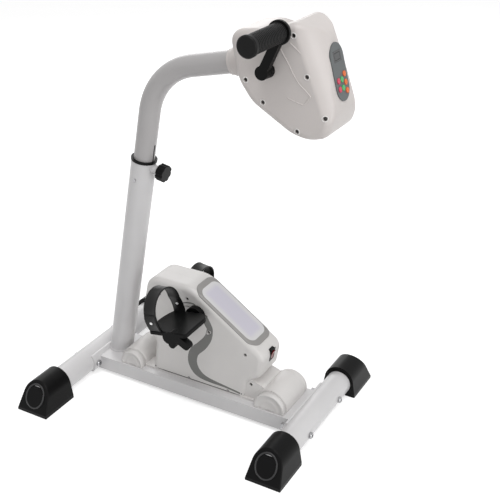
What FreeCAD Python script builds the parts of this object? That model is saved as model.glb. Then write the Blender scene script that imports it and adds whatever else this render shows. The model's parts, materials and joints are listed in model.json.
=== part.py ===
# Active passive trainer: a floor-standing, motorised arm-and-leg exerciser.
# Frame: origin on the floor, midway between the two cross beams. X runs along the beams, the user
# sits on the -Y side, Z is up. Left is the -X side. All sizes are millimetres and degrees.
import FreeCAD, Part
import Sketcher
import math
import os
from FreeCAD import Placement, Rotation, Vector

doc = FreeCAD.newDocument("ActivePassiveTrainer")
sheet = doc.addObject("Spreadsheet::Sheet", "Sizes")

SIZES = {
    # base frame
    "beam_spacing": 495, "beam_diameter": 50, "beam_wall": 2, "beam_height": 27,
    "rear_width": 485, "front_width": 406,
    "cap_length": 85, "cap_width": 71, "cap_foot_height": 7, "cap_plug_wall": 3,
    "cap_end_wall": 24, "cap_arch_radius": 31, "cap_arch_height": 31, "cap_slant": 30,
    "cap_edge": 3, "cap_dish_width": 44, "cap_dish_height": 34, "cap_dish_depth": 4,
    "cap_lip": 2, "fit_gap": 0.1,
    "deck_width": 108, "deck_height": 38, "deck_depth": 31, "deck_sheet": 2.5,
    "saddle_width": 150, "saddle_sheet": 3, "saddle_half_angle": 48,
    "bolt_offset": 64, "bolt_diameter": 8, "bolt_head_diameter": 13, "bolt_head_height": 5,
    "bolt_socket": 5, "nut_diameter": 14, "nut_height": 6.5,
    # mast
    "mast_setback": 205, "mast_tilt": 10.9, "mast_length": 448, "mast_diameter": 48, "mast_wall": 2,
    "mast_root": 6,
    "bush_flange": 4, "bush_flange_width": 50, "bush_depth": 38, "bush_gap": 0.15,
    "clamp_drop": 10.5, "boss_diameter": 18, "boss_length": 9, "knob_diameter": 33, "knob_height": 15,
    "knob_lobes": 8, "knob_lobe_diameter": 7, "knob_neck_diameter": 16, "knob_neck": 4,
    "knob_gap": 0.5,
    "stud_diameter": 8, "stud_tip_diameter": 4, "stud_gap": 0.1,
    "bush_screw_diameter": 6, "bush_screw_drop": 22, "bush_screw_step": 14, "bush_screw_head": 1.6,
    # bent upper tube
    "tube_diameter": 40, "tube_wall": 2, "tube_insert": 185, "bend_corner": 629, "bend_radius": 124,
    "arm_rise": 12.5, "tube_reach": 214, "slot_width": 5, "slot_length": 150, "slot_above": 34,
    "guide_length": 30, "guide_lip": 3, "guide_gap": 0.2,
    # head
    "collar_at": 178, "collar_diameter": 50, "collar_length": 36, "collar_back": 12,
    "collar_step": 8, "collar_step_diameter": 46,
    "head_depth": 200, "head_height": 200, "head_half_width": 53, "head_wall": 2.5, "head_edge": 13,
    "sweep_radius": 60, "sweep_tilt": 22, "sweep_half_width": 40, "sweep_forward": 160,
    "sweep_rise": 43, "sweep_edge": 12,
    "seam_gap": 0.1, "arm_axis_forward": 83, "arm_axis_rise": 9,
    "screw_boss_diameter": 10, "screw_recess_diameter": 7, "screw_recess": 5, "screw_diameter": 3.5,
    "screw_head_diameter": 6, "screw_head": 2, "screw_length": 20,
    "console_width": 46, "console_length": 94, "console_sheet": 3, "console_sink": 1.5,
    "console_gap": 0.2, "console_drop": 4, "display_width": 27, "display_length": 18,
    "display_sheet": 1.6, "display_offset": 25, "button_diameter": 9.5, "button_height": 3.4,
    "button_travel": 0.8, "button_proud": 1.4, "button_pitch": 12, "button_row": 13.5,
    "button_offset": -19.5, "button_gap": 0.25, "button_flange": 1.2,
    "board_sheet": 1.6, "board_margin": 4, "board_drop": 9, "board_post_diameter": 6,
    "switch_side": 6, "switch_gap": 0.3,
    # arm drive
    "shaft_diameter": 12, "shaft_gap": 0.05, "arm_bearing_diameter": 28, "arm_bearing_width": 8,
    "arm_bearing_inset": 27, "bracket_sheet": 4, "bracket_seat": 5,
    "worm_wheel_teeth": 30, "worm_wheel_diameter": 60, "worm_tooth": 4, "worm_wheel_width": 12,
    "worm_diameter": 15, "worm_length": 30, "worm_gap": 0.6, "worm_shaft_diameter": 6,
    "arm_motor_diameter": 38, "arm_motor_length": 50, "arm_motor_nose": 16,
    # arm crank and grip
    "arm_crank_radius": 77, "arm_crank_angle": 64.5, "arm_crank_in": 63, "arm_crank_thick": 13,
    "arm_crank_hub": 23, "arm_crank_end": 21, "arm_crank_waist": 15, "arm_boss_diameter": 24,
    "arm_boss_gap": 0.6, "grip_gap": 1, "grip_length": 104, "grip_diameter": 32,
    "grip_flange_diameter": 39, "grip_flange": 5, "grip_end_diameter": 35, "grip_end": 8,
    "grip_ribs": 20, "grip_rib_depth": 1, "spindle_diameter": 10, "spindle_gap": 0.1,
    "spindle_nut": 14,
    # lower unit
    "tray_sheet": 4, "tray_half_width": 38, "front_hump": 174, "front_hump_diameter": 72,
    "rear_hump": 146, "rear_hump_diameter": 58, "hump_rise": 3,
    "disc_inset": 1.5, "disc_rim": 5,
    "neck_half_width": 34,
    "unit_length": 280, "unit_height": 210, "unit_half_width": 38, "unit_wall": 2.5,
    "unit_edge": 11,
    "crank_setback": 20, "crank_height": 165,
    "panel_width": 70, "panel_length": 165, "panel_sheet": 1.2, "panel_border": 6,
    "panel_radius": 22, "panel_low": 24, "plate_sheet": 0.8,
    "bezel_width": 16, "bezel_height": 26, "bezel_flange": 1, "bezel_wall": 1.8,
    "bezel_depth": 14, "rocker_gap": 0.3, "rocker_depth": 8, "rocker_angle": 8,
    "rocker_proud": 2.5, "rocker_pin_diameter": 2.4, "switch_level": 91, "switch_sink": 0.2,
    # leg drive
    "leg_shaft_diameter": 17, "leg_bearing_diameter": 35, "leg_bearing_width": 10,
    "leg_bearing_inset": 22, "leg_bracket_foot": 26, "leg_bracket_rim": 6,
    "pulley_diameter": 100, "pulley_width": 12, "pulley_at": 12, "pulley_web": 4,
    "pulley_hub_diameter": 30, "pulley_flange": 1.5, "belt_sheet": 2.4, "belt_gap": 0.3,
    "motor_pulley_diameter": 24, "leg_motor_share": 0.3, "leg_motor_height": 105,
    "leg_motor_diameter": 64, "leg_motor_length": 34, "leg_motor_at": -32,
    "motor_shaft_diameter": 8, "frame_sheet": 3, "motor_plate_share": 0.27,
    "supply_width": 56, "supply_length_share": 0.22, "supply_height": 20, "supply_share": 0.28,
    "inlet_length": 27, "inlet_height": 20, "inlet_depth": 14, "inlet_flange": 1.5,
    "inlet_forward": 62, "inlet_level": 34, "inlet_wall": 2,
    # leg crank, pedal and strap
    "leg_crank_radius": 50, "leg_crank_angle": 46, "leg_crank_in": 41, "leg_crank_thick": 12,
    "leg_crank_hub": 36, "leg_crank_end": 38, "leg_crank_waist": 22,
    "pedal_gap": 1.5, "pedal_width": 86, "pedal_front": 41, "pedal_back": 42, "pedal_sheet": 8,
    "pedal_bulge": 7, "pedal_rise": 4, "pedal_corner": 6, "pedal_front_corner": 24, "pedal_boss_diameter": 24,
    "pedal_lobe_diameter": 15, "pedal_lobe_drop": 13, "pedal_lobe_spread": 15,
    "pedal_lobe_shift": 21, "pedal_lobe_thick": 14, "pedal_edge": 3, "pedal_web": 4, "left_pedal_lean": -10, "right_pedal_lean": 7,
    "pedal_spindle_diameter": 12, "pedal_spindle_reach": 74,
    "strap_width": 27, "strap_sheet": 2.6, "strap_height": 79, "strap_bulge": 9,
    "strap_shift": 26, "strap_inset": 3.5, "strap_slot_gap": 0.3,
    "rivet_diameter": 6, "rivet_head": 1.2, "rivet_level": 18,
    "overrun": 5,
}

for row, (alias, value) in enumerate(SIZES.items(), start=1):
    sheet.set("A%d" % row, alias)
    sheet.set("B%d" % row, str(value))
    sheet.setAlias("B%d" % row, alias)
doc.recompute()


class SheetReader:
    """Gives every driving size of the sheet by its alias."""

    def __getattr__(self, alias):
        return float(sheet.get(alias))


size = SheetReader()
X_AXIS = Vector(1, 0, 0)
Y_AXIS = Vector(0, 1, 0)
Z_AXIS = Vector(0, 0, 1)
ALONG_X = Rotation(Y_AXIS, 90)
ALONG_MINUS_X = Rotation(Y_AXIS, -90)
SIDES = {"left": -1, "right": 1}
pieces = []


def keep(piece, label, placement=None):
    """Register a finished sub-part under its own label and place."""
    piece.Label = label
    if placement is not None:
        piece.Placement = placement
    pieces.append(piece)
    return piece


def keep_shape(label, shape, placement=None):
    piece = doc.addObject("Part::Feature", label)
    piece.Shape = shape
    return keep(piece, label, placement)


def joined(shapes):
    return shapes[0].fuse(shapes[1:]).removeSplitter() if len(shapes) > 1 else shapes[0]


# Sketch and feature helpers for the sub-parts built as PartDesign bodies

def new_sketch(body, name, role):
    plane = next(item for item in body.Origin.OriginFeatures if item.Role == role)
    sketch = body.newObject("Sketcher::SketchObject", name)
    sketch.AttachmentSupport = [(plane, "")]
    sketch.MapMode = "FlatFace"
    return sketch


def pin_point(sketch, geometry, point, across, along):
    """Hold one point of a sketch at two expressions; a zero lies on the axis itself."""
    for kind, axis, expression in (("DistanceX", -2, across), ("DistanceY", -1, along)):
        if expression == "0":
            sketch.addConstraint(Sketcher.Constraint("PointOnObject", geometry, point, axis))
        else:
            start = sheet_value(expression)
            held = sketch.addConstraint(
                Sketcher.Constraint(kind, -1, 1, geometry, point, start))
            sketch.setExpression("Constraints[%d]" % held, expression)


def sheet_value(expression):
    """Number that an expression of sheet sizes gives now."""
    return float(sheet.evalExpression(expression.replace("Sizes.", "")))


def draw_circle(sketch, diameter, across="0", along="0"):
    centre = Vector(0 if across == "0" else sheet_value(across),
                    0 if along == "0" else sheet_value(along), 0)
    radius = sheet_value(diameter) / 2
    index = sketch.addGeometry(Part.Circle(centre, Z_AXIS, radius), False)
    pin_point(sketch, index, 3, across, along)
    held = sketch.addConstraint(Sketcher.Constraint("Diameter", index, radius * 2))
    sketch.setExpression("Constraints[%d]" % held, diameter)


def draw_polygon(sketch, corners):
    """Closed outline of straight lines whose corners are pairs of expressions."""
    spots = [Vector(0 if across == "0" else sheet_value(across),
                    0 if along == "0" else sheet_value(along), 0) for across, along in corners]
    first = sketch.GeometryCount
    for index, spot in enumerate(spots):
        following = spots[(index + 1) % len(spots)]
        sketch.addGeometry(Part.LineSegment(spot, following), False)
    for index, (across, along) in enumerate(corners):
        following = first + (index + 1) % len(spots)
        sketch.addConstraint(
            Sketcher.Constraint("Coincident", first + index, 2, following, 1))
        pin_point(sketch, first + index, 1, across, along)


def pad(body, sketch, length, symmetric=False, backwards=False):
    feature = body.newObject("PartDesign::Pad", sketch.Name + "Pad")
    feature.Profile = sketch
    feature.SideType = "Symmetric" if symmetric else "One side"
    feature.Reversed = backwards
    feature.setExpression("Length", length)
    return feature


def pocket(body, sketch, length, symmetric=False, backwards=False):
    feature = body.newObject("PartDesign::Pocket", sketch.Name + "Pocket")
    feature.Profile = sketch
    feature.SideType = "Symmetric" if symmetric else "One side"
    feature.Reversed = backwards
    feature.setExpression("Length", length)
    return feature


def turned(label, corners, placement):
    """Sub-part turned about its own Z axis; corners are (radius, height) expressions."""
    body = doc.addObject("PartDesign::Body", label)
    sketch = new_sketch(body, label + "_section", "XZ_Plane")
    draw_polygon(sketch, corners)
    feature = body.newObject("PartDesign::Revolution", label + "_turn")
    feature.Profile = sketch
    feature.ReferenceAxis = (sketch, ["V_Axis"])
    feature.Angle = 360
    return keep(body, label, placement)


def tube(label, outer, inner, length, placement, symmetric=False):
    """Straight round tube, or a bar where there is no inner diameter."""
    body = doc.addObject("PartDesign::Body", label)
    sketch = new_sketch(body, label + "_ring", "XY_Plane")
    draw_circle(sketch, outer)
    if inner:
        draw_circle(sketch, inner)
    pad(body, sketch, length, symmetric)
    return keep(body, label, placement)


# Shape helpers for the moulded and bent sub-parts

def disc(radius, length, start, direction):
    return Part.makeCylinder(radius, length, start, direction)


def block(low, high):
    return Part.makeBox(high.x - low.x, high.y - low.y, high.z - low.z, low)


def rounded_wire(corners):
    """Closed wire of straight runs and tangent arcs; corners are (point, radius)."""
    runs = []
    for index, (corner, radius) in enumerate(corners):
        before = corners[index - 1][0]
        after = corners[(index + 1) % len(corners)][0]
        back = (before - corner).normalize()
        ahead = (after - corner).normalize()
        half = back.getAngle(ahead) / 2
        reach = radius / math.tan(half)
        middle = corner + (back + ahead).normalize() * (radius / math.sin(half) - radius)
        runs.append((corner + back * reach, middle, corner + ahead * reach, radius))
    edges = []
    for index, (start, middle, end, radius) in enumerate(runs):
        if radius > 0:
            edges.append(Part.Arc(start, middle, end).toShape())
        following = runs[(index + 1) % len(runs)][0]
        edges.append(Part.LineSegment(end, following).toShape())
    return Part.Wire(edges)


def side_corners(shares, length, height, origin):
    """Corners in the YZ plane from shares of a length (towards the user) and a height."""
    return [(origin + Vector(0, -forward * length, rise * height), rounding * height)
            for forward, rise, rounding in shares]


def stadium_wire(width, length, centre, up, across):
    """Flat-sided oval, long way along up."""
    half = (length - width) / 2
    radius = width / 2
    top = centre + up * half
    low = centre - up * half
    return Part.Wire([
        Part.Arc(top - across * radius, top + up * radius, top + across * radius).toShape(),
        Part.LineSegment(top + across * radius, low + across * radius).toShape(),
        Part.Arc(low + across * radius, low - up * radius, low - across * radius).toShape(),
        Part.LineSegment(low - across * radius, top - across * radius).toShape()])


def pulley_loop(big, big_radius, small, small_radius):
    """Outline of a belt round two circles in the YZ plane."""
    along = small - big
    span = along.Length
    along.normalize()
    square = X_AXIS.cross(along)
    lean = math.asin((big_radius - small_radius) / span)
    upper = along * math.sin(lean) + square * math.cos(lean)
    lower = along * math.sin(lean) - square * math.cos(lean)
    return Part.Wire([
        Part.LineSegment(big + upper * big_radius, small + upper * small_radius).toShape(),
        Part.Arc(small + upper * small_radius, small + along * small_radius,
                 small + lower * small_radius).toShape(),
        Part.LineSegment(small + lower * small_radius, big + lower * big_radius).toShape(),
        Part.Arc(big + lower * big_radius, big - along * big_radius,
                 big + upper * big_radius).toShape()])


def slab(wire, start, thickness):
    """Plate of a flat wire drawn in the YZ plane, from x = start."""
    face = Part.Face(wire)
    face.translate(X_AXIS * start)
    return face.extrude(X_AXIS * thickness)


def moulding(corners, half_width, edge_radius):
    """Solid of a side outline, as wide as the unit, with its two side rims rounded."""
    solid = slab(rounded_wire(corners), -half_width, half_width * 2)
    rims = [edge for edge in solid.Edges if edge.BoundBox.XLength < size.fit_gap]
    return solid.makeFillet(edge_radius, rims)


def inset_moulding(corners, half_width, edge_radius, wall):
    """The space inside a moulding of one wall thickness."""
    face = Part.Face(rounded_wire(corners)).makeOffset2D(-wall, 2)
    face.translate(X_AXIS * (wall - half_width))
    solid = face.extrude(X_AXIS * (half_width - wall) * 2)
    rims = [edge for edge in solid.Edges if edge.BoundBox.XLength < size.fit_gap]
    return solid.makeFillet(edge_radius - wall, rims)


def half_space(side, gap):
    """A big block on one side of the middle plane."""
    reach = size.beam_spacing * 2
    if side < 0:
        return block(Vector(-reach, -reach, -reach), Vector(-gap, reach, reach))
    return block(Vector(gap, -reach, -reach), Vector(reach, reach, reach))


# Reference points and directions shared by the sub-parts

mast_foot = Vector(0, size.mast_setback, size.deck_height)
mast_turn = Rotation(X_AXIS, size.mast_tilt)
mast_up = mast_turn.multVec(Z_AXIS)
mast_front = mast_turn.multVec(-Y_AXIS)
rise_turn = Rotation(X_AXIS, 90 - size.arm_rise)
arm_out = rise_turn.multVec(Z_AXIS)
bend_point = mast_foot + mast_up * size.bend_corner
head_origin = bend_point + arm_out * size.collar_at
arm_axis = head_origin + Vector(0, -size.arm_axis_forward, size.arm_axis_rise)
unit_origin = Vector(0, 0, size.deck_height + size.tray_sheet)
crank_axis = Vector(0, size.crank_setback, size.crank_height)
clamp_point = mast_foot + mast_up * (size.mast_length - size.clamp_drop)


def mast_place(distance):
    return Placement(mast_foot + mast_up * distance, mast_turn)


# Base frame

def beams():
    for name, side in (("rear", 1), ("front", -1)):
        spot = Vector(0, side * size.beam_spacing / 2, size.beam_height)
        body = tube(name + "_beam", "Sizes.beam_diameter",
                    "Sizes.beam_diameter - 2 * Sizes.beam_wall",
                    "Sizes.%s_width - 2 * Sizes.cap_end_wall - 2 * Sizes.fit_gap" % name,
                    Placement(spot, ALONG_X), True)
        holes = new_sketch(body, name + "_bolt_holes", "XZ_Plane")
        for along in ("Sizes.bolt_offset", "-Sizes.bolt_offset"):
            draw_circle(holes, "Sizes.bolt_diameter + 2 * Sizes.fit_gap", "0", along)
        pocket(body, holes, "2 * Sizes.beam_diameter", True)


def foot_cap(label, x_side, width, y_place):
    """Arched cap: base on the floor, slanted outer face with an oval dish, bore for the tube."""
    radius = size.cap_arch_radius
    half = size.cap_width / 2
    axis = Vector(0, 0, size.beam_height)
    crown = Vector(0, 0, size.cap_arch_height)
    corner = Vector(0, half, size.cap_foot_height)
    flank = corner - crown
    touch = math.atan2(flank.z, flank.y) + math.acos(radius / flank.Length)
    right = crown + Vector(0, math.cos(touch), math.sin(touch)) * radius
    left = Vector(0, -right.y, right.z)
    low_left = Vector(0, -half, 0)
    low_right = Vector(0, half, 0)
    other_corner = Vector(0, -half, size.cap_foot_height)
    arch = Part.Wire([
        Part.LineSegment(low_left, low_right).toShape(),
        Part.LineSegment(low_right, corner).toShape(), Part.LineSegment(corner, right).toShape(),
        Part.Arc(right, crown + Z_AXIS * radius, left).toShape(),
        Part.LineSegment(left, other_corner).toShape(),
        Part.LineSegment(other_corner, low_left).toShape()])
    solid = slab(arch, -size.cap_length, size.cap_length)
    height = size.cap_arch_height + radius - size.cap_foot_height
    lean = math.degrees(math.atan2(size.cap_slant, height))
    slant = Rotation(Y_AXIS, lean)
    toe = Vector(-size.cap_length, 0, size.cap_foot_height)
    cutter = block(Vector(-size.cap_length, -size.cap_width, 0),
                   Vector(0, size.cap_width, size.cap_length * 2))
    cutter.Placement = Placement(toe, slant)
    solid = solid.cut(cutter)
    rim = [edge for edge in solid.Edges
           if edge.BoundBox.ZMax > size.cap_foot_height + size.cap_edge
           and edge.BoundBox.XMax < -size.cap_edge and edge.BoundBox.YLength > size.cap_edge]
    solid = solid.makeFillet(size.cap_edge, rim)
    middle = toe + slant.multVec(Z_AXIS) * height / 2
    dish = oval_plug(size.cap_dish_width, size.cap_dish_height, size.cap_dish_depth)
    lip = oval_plug(size.cap_dish_width + size.cap_lip * 2,
                    size.cap_dish_height + size.cap_lip * 2, size.cap_lip)
    dish.Placement = Placement(middle, slant)
    lip.Placement = Placement(middle - slant.multVec(X_AXIS) * size.cap_lip / 2, slant)
    solid = solid.fuse(lip).cut(dish)
    depth = size.cap_length - size.cap_end_wall
    bore = disc(size.beam_diameter / 2 + size.fit_gap, depth, axis, -X_AXIS)
    plug_radius = size.beam_diameter / 2 - size.beam_wall - size.fit_gap
    plug = disc(plug_radius, depth, axis, -X_AXIS)
    hollow = disc(plug_radius - size.cap_plug_wall, depth, axis, -X_AXIS)
    solid = solid.cut(bore).fuse(plug.cut(hollow)).removeSplitter()
    turn = Rotation() if x_side < 0 else Rotation(Z_AXIS, 180)
    spot = Vector(x_side * (width / 2 - size.cap_length), y_place, 0)
    keep_shape(label, solid, Placement(spot, turn))


def oval_plug(width, height, depth):
    """Oval plug along X, centred on X = 0 to take a dish of half its depth and more."""
    oval = Part.Ellipse(Vector(0, 0, 0), width / 2, height / 2)
    face = Part.Face(Part.Wire(oval.toShape()))
    face.Placement = Placement(Vector(0, 0, 0), Rotation(Y_AXIS, 90).multiply(
        Rotation(Z_AXIS, 90)))
    return face.extrude(X_AXIS * depth)


def foot_caps():
    for name, side in (("rear", 1), ("front", -1)):
        width = size.rear_width if side > 0 else size.front_width
        for hand, x_side in SIDES.items():
            foot_cap("%s_%s_foot_cap" % (name, hand), x_side, width,
                     side * size.beam_spacing / 2)


def deck():
    """Folded channel between the beams, with a curved saddle plate welded on each end."""
    half = size.deck_width / 2
    top = size.deck_height
    reach = size.beam_spacing / 2
    outer = block(Vector(-half, -reach, top - size.deck_depth), Vector(half, reach, top))
    inner = block(Vector(size.deck_sheet - half, -reach, top - size.deck_depth),
                  Vector(half - size.deck_sheet, reach, top - size.deck_sheet))
    shape = outer.cut(inner)
    beam_radius = size.beam_diameter / 2 + size.fit_gap
    for side in (-1, 1):
        start = Vector(-size.saddle_width / 2, side * reach, size.beam_height)
        round_cut = disc(beam_radius + size.saddle_sheet, size.saddle_width, start, X_AXIS)
        shape = shape.cut(round_cut)
        half_chord = math.sin(math.radians(size.saddle_half_angle)) * beam_radius
        keep_zone = block(
            Vector(-size.saddle_width / 2, 0 if side > 0 else -reach,
                   size.beam_height - half_chord),
            Vector(size.saddle_width / 2, reach if side > 0 else 0,
                   size.beam_height + half_chord))
        ring = round_cut.cut(disc(beam_radius, size.saddle_width, start, X_AXIS))
        saddle = ring.common(keep_zone)
        for x_side in (-1, 1):
            hole_start = Vector(x_side * size.bolt_offset, side * reach, size.beam_height)
            saddle = saddle.cut(disc(size.bolt_diameter / 2 + size.fit_gap, size.beam_diameter,
                                     hole_start, -Y_AXIS * side))
        shape = shape.fuse(saddle)
    keep_shape("deck_channel", shape.removeSplitter())


def beam_bolts():
    """Button-head bolts that enter from the user's side, each with its nut."""
    fasteners = []
    outside = size.beam_diameter / 2 + size.fit_gap
    for side in (-1, 1):
        saddle = size.saddle_sheet if side > 0 else 0
        for x_side in (-1, 1):
            axis = Vector(x_side * size.bolt_offset, side * size.beam_spacing / 2,
                          size.beam_height)
            seat = axis - Y_AXIS * (outside + saddle)
            length = outside * 2 + size.saddle_sheet + size.nut_height
            shank = disc(size.bolt_diameter / 2, length, seat, Y_AXIS)
            head = disc(size.bolt_head_diameter / 2, size.bolt_head_height, seat, -Y_AXIS)
            head = head.makeChamfer(size.bolt_head_height / 3, [
                edge for edge in head.Edges
                if edge.BoundBox.YMax < seat.y - size.bolt_head_height + size.fit_gap])
            socket = disc(size.bolt_socket / 2, size.bolt_head_height / 2,
                          seat - Y_AXIS * size.bolt_head_height, Y_AXIS)
            fasteners.append(joined([shank, head]).cut(socket))
            far = axis + Y_AXIS * (outside + size.saddle_sheet - saddle + size.fit_gap)
            circle = [far + Rotation(Y_AXIS, 60 * corner).multVec(X_AXIS * size.nut_diameter / 2)
                      for corner in range(7)]
            nut = Part.Face(Part.makePolygon(circle)).extrude(Y_AXIS * size.nut_height)
            fasteners.append(nut.cut(disc(size.bolt_diameter / 2 + size.fit_gap,
                                          size.beam_diameter, axis, Y_AXIS)))
    keep_shape("beam_bolts", Part.makeCompound(fasteners))


# Mast

def mast():
    """Outer tube with a mitred and coped foot, and a threaded boss for the clamp."""
    body = doc.addObject("PartDesign::Body", "mast_outer_tube")
    bar = new_sketch(body, "mast_bar", "XY_Plane")
    draw_circle(bar, "Sizes.mast_diameter")
    pad(body, bar, "Sizes.mast_length + Sizes.mast_root")
    clamp_level = "Sizes.mast_root + Sizes.mast_length - Sizes.clamp_drop"
    boss = new_sketch(body, "mast_clamp_boss", "XZ_Plane")
    draw_circle(boss, "Sizes.boss_diameter", "0", clamp_level)
    pad(body, boss, "Sizes.mast_diameter / 2 + Sizes.boss_length")
    bore = new_sketch(body, "mast_bore", "XY_Plane")
    draw_circle(bore, "Sizes.mast_diameter - 2 * Sizes.mast_wall")
    pocket(body, bore, "4 * Sizes.mast_length", True)
    foot = new_sketch(body, "mast_foot_line", "YZ_Plane")
    slope = "Sizes.mast_diameter * tan(Sizes.mast_tilt * 1 deg)"
    draw_polygon(foot, [("-Sizes.mast_diameter", "Sizes.mast_root + " + slope),
                        ("-Sizes.mast_diameter", "-Sizes.mast_diameter"),
                        ("Sizes.mast_diameter", "-Sizes.mast_diameter"),
                        ("Sizes.mast_diameter", "Sizes.mast_root - " + slope)])
    pocket(body, foot, "2 * Sizes.mast_diameter", True)
    cope = new_sketch(body, "mast_cope", "YZ_Plane")
    back = "(Sizes.beam_spacing / 2 - Sizes.mast_setback)"
    rise = "(Sizes.beam_height - Sizes.deck_height)"
    lean = "(Sizes.mast_tilt * 1 deg)"
    draw_circle(cope, "Sizes.beam_diameter + 2 * Sizes.saddle_sheet + 4 * Sizes.fit_gap",
                "%s * cos%s + %s * sin%s" % (back, lean, rise, lean),
                "Sizes.mast_root - %s * sin%s + %s * cos%s" % (back, lean, rise, lean))
    pocket(body, cope, "2 * Sizes.mast_diameter", True)
    clamp = new_sketch(body, "mast_clamp_hole", "XZ_Plane")
    draw_circle(clamp, "Sizes.stud_diameter + 2 * Sizes.stud_gap", "0", clamp_level)
    pocket(body, clamp, "Sizes.mast_diameter", False, True)
    keep(body, "mast_outer_tube", mast_place(-size.mast_root))


def mast_bush():
    """Plastic ring on the tube's mouth, with a skirt that guides the inner tube."""
    bore = "Sizes.tube_diameter / 2 + Sizes.bush_gap"
    skirt = "Sizes.mast_diameter / 2 - Sizes.mast_wall - Sizes.fit_gap"
    body = turned("mast_bush", [
        (bore, "-Sizes.bush_depth"), (skirt, "-Sizes.bush_depth"), (skirt, "0"),
        ("Sizes.bush_flange_width / 2", "0"), ("Sizes.bush_flange_width / 2", "Sizes.bush_flange"),
        (bore, "Sizes.bush_flange")], mast_place(size.mast_length))
    hole = new_sketch(body, "bush_stud_hole", "XZ_Plane")
    draw_circle(hole, "Sizes.stud_diameter + 2 * Sizes.stud_gap", "0", "-Sizes.clamp_drop")
    pocket(body, hole, "Sizes.mast_diameter", False, True)


def stud_place(distance):
    """Frame on the clamp axis whose Z points away from the mast, towards the user."""
    turn = mast_turn.multiply(Rotation(X_AXIS, 90))
    return Placement(clamp_point + mast_front * distance, turn)


def clamp():
    """Scalloped knob with its stud, whose tip runs in the slot of the inner tube."""
    body = doc.addObject("PartDesign::Body", "clamp_knob")
    cap = new_sketch(body, "knob_disc", "XY_Plane")
    draw_circle(cap, "Sizes.knob_diameter")
    pad(body, cap, "Sizes.knob_height")
    scoop = new_sketch(body, "knob_scoop", "XY_Plane")
    draw_circle(scoop, "Sizes.knob_lobe_diameter",
                "Sizes.knob_diameter / 2 + Sizes.knob_lobe_diameter / 4", "0")
    cut = pocket(body, scoop, "Sizes.knob_height", False, True)
    pattern = body.newObject("PartDesign::PolarPattern", "knob_scoops")
    pattern.Originals = [cut]
    pattern.Axis = (scoop, ["N_Axis"])
    pattern.Angle = 360
    pattern.setExpression("Occurrences", "Sizes.knob_lobes")
    body.Tip = pattern
    stand = ("Sizes.mast_diameter / 2 + Sizes.boss_length + Sizes.knob_neck + Sizes.knob_gap"
             " - Sizes.tube_diameter / 2")
    stages = (("knob_neck", "Sizes.knob_neck_diameter", "Sizes.knob_neck"),
              ("knob_stud", "Sizes.stud_diameter", stand + " - Sizes.bush_gap"),
              ("knob_tip", "Sizes.stud_tip_diameter", stand + " + Sizes.tube_wall"))
    for name, diameter, length in stages:
        sketch = new_sketch(body, name, "XY_Plane")
        draw_circle(sketch, diameter)
        pad(body, sketch, length, False, True)
    keep(body, "clamp_knob", stud_place(size.mast_diameter / 2 + size.boss_length
                                        + size.knob_neck + size.knob_gap))


def bush_screws():
    """Two low-head screws that hold the bush in the tube."""
    screws = []
    radius = size.mast_diameter / 2
    spots = ((mast_turn.multVec(Y_AXIS), size.bush_screw_drop),
             (-X_AXIS, size.bush_screw_drop + size.bush_screw_step))
    for outward, drop in spots:
        spot = mast_foot + mast_up * (size.mast_length - drop) + outward * (radius + size.fit_gap)
        screws.append(disc(size.bush_screw_diameter / 2, size.bush_screw_head, spot, outward))
    keep_shape("bush_screws", Part.makeCompound(screws))


# Bent upper tube

def upper_tube():
    """Tube that slides in the mast, bends over towards the user and carries the head."""
    turn = math.acos(mast_up.dot(arm_out))
    reach = size.bend_radius * math.tan(turn / 2)
    start = bend_point - mast_up * (size.bend_corner - size.mast_length + size.tube_insert)
    bend_start = bend_point - mast_up * reach
    bend_end = bend_point + arm_out * reach
    inward = (arm_out - mast_up).normalize()
    centre_line = size.bend_radius / math.cos(turn / 2) - size.bend_radius
    middle = bend_point + inward * centre_line
    end = bend_point + arm_out * size.tube_reach
    path = Part.Wire([Part.LineSegment(start, bend_start).toShape(),
                      Part.Arc(bend_start, middle, bend_end).toShape(),
                      Part.LineSegment(bend_end, end).toShape()])
    shapes = []
    for radius in (size.tube_diameter / 2, size.tube_diameter / 2 - size.tube_wall):
        ring = Part.Wire(Part.Circle(start, mast_up, radius).toShape())
        shapes.append(path.makePipeShell([ring], True, False))
    shape = shapes[0].cut(shapes[1])
    slot_top = size.mast_length + size.bush_flange + size.slot_above - size.slot_width / 2
    half = size.slot_width / 2
    slot = block(Vector(-half, -size.tube_diameter, slot_top - size.slot_length),
                 Vector(half, 0, slot_top))
    for height in (slot_top, slot_top - size.slot_length):
        slot = slot.fuse(disc(half, size.tube_diameter, Vector(0, 0, height), -Y_AXIS))
    slot.Placement = mast_place(0)
    keep_shape("upper_tube", shape.cut(slot))


def tube_guide():
    """Plastic plug in the foot of the inner tube, with a lip that runs in the mast."""
    plug = "Sizes.tube_diameter / 2 - Sizes.tube_wall - Sizes.fit_gap"
    bore = "Sizes.tube_diameter / 2 - 3 * Sizes.tube_wall"
    lip = "Sizes.mast_diameter / 2 - Sizes.mast_wall - Sizes.guide_gap"
    turned("tube_guide", [
        (bore, "-Sizes.guide_lip"), (lip, "-Sizes.guide_lip"), (lip, "-Sizes.fit_gap"),
        (plug, "-Sizes.fit_gap"), (plug, "Sizes.guide_length"), (bore, "Sizes.guide_length")],
        mast_place(size.mast_length - size.tube_insert))


# Head housing

# Corners of the head's side view from the collar: towards the user, up, and corner rounding
HEAD_OUTLINE_SHARES = [
    (0.125, -0.085, 0.30), (0.035, 0.32, 0.11), (0.30, 0.358, 0.30), (0.42, 0.335, 0.09),
    (0.605, 0.445, 0.12), (0.825, 0.375, 0.15), (0.996, -0.265, 0.30), (0.95, -0.45, 0.13),
    (0.78, -0.50, 0.30), (0.62, -0.47, 0.40), (0.25, -0.255, 0.35)]
# Screw places on the head's side: towards the user, up
HEAD_SCREW_SHARES = [(0.635, 0.345), (0.21, -0.065), (0.37, -0.23), (0.76, 0.035),
                     (0.925, -0.28), (0.685, -0.425)]


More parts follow.
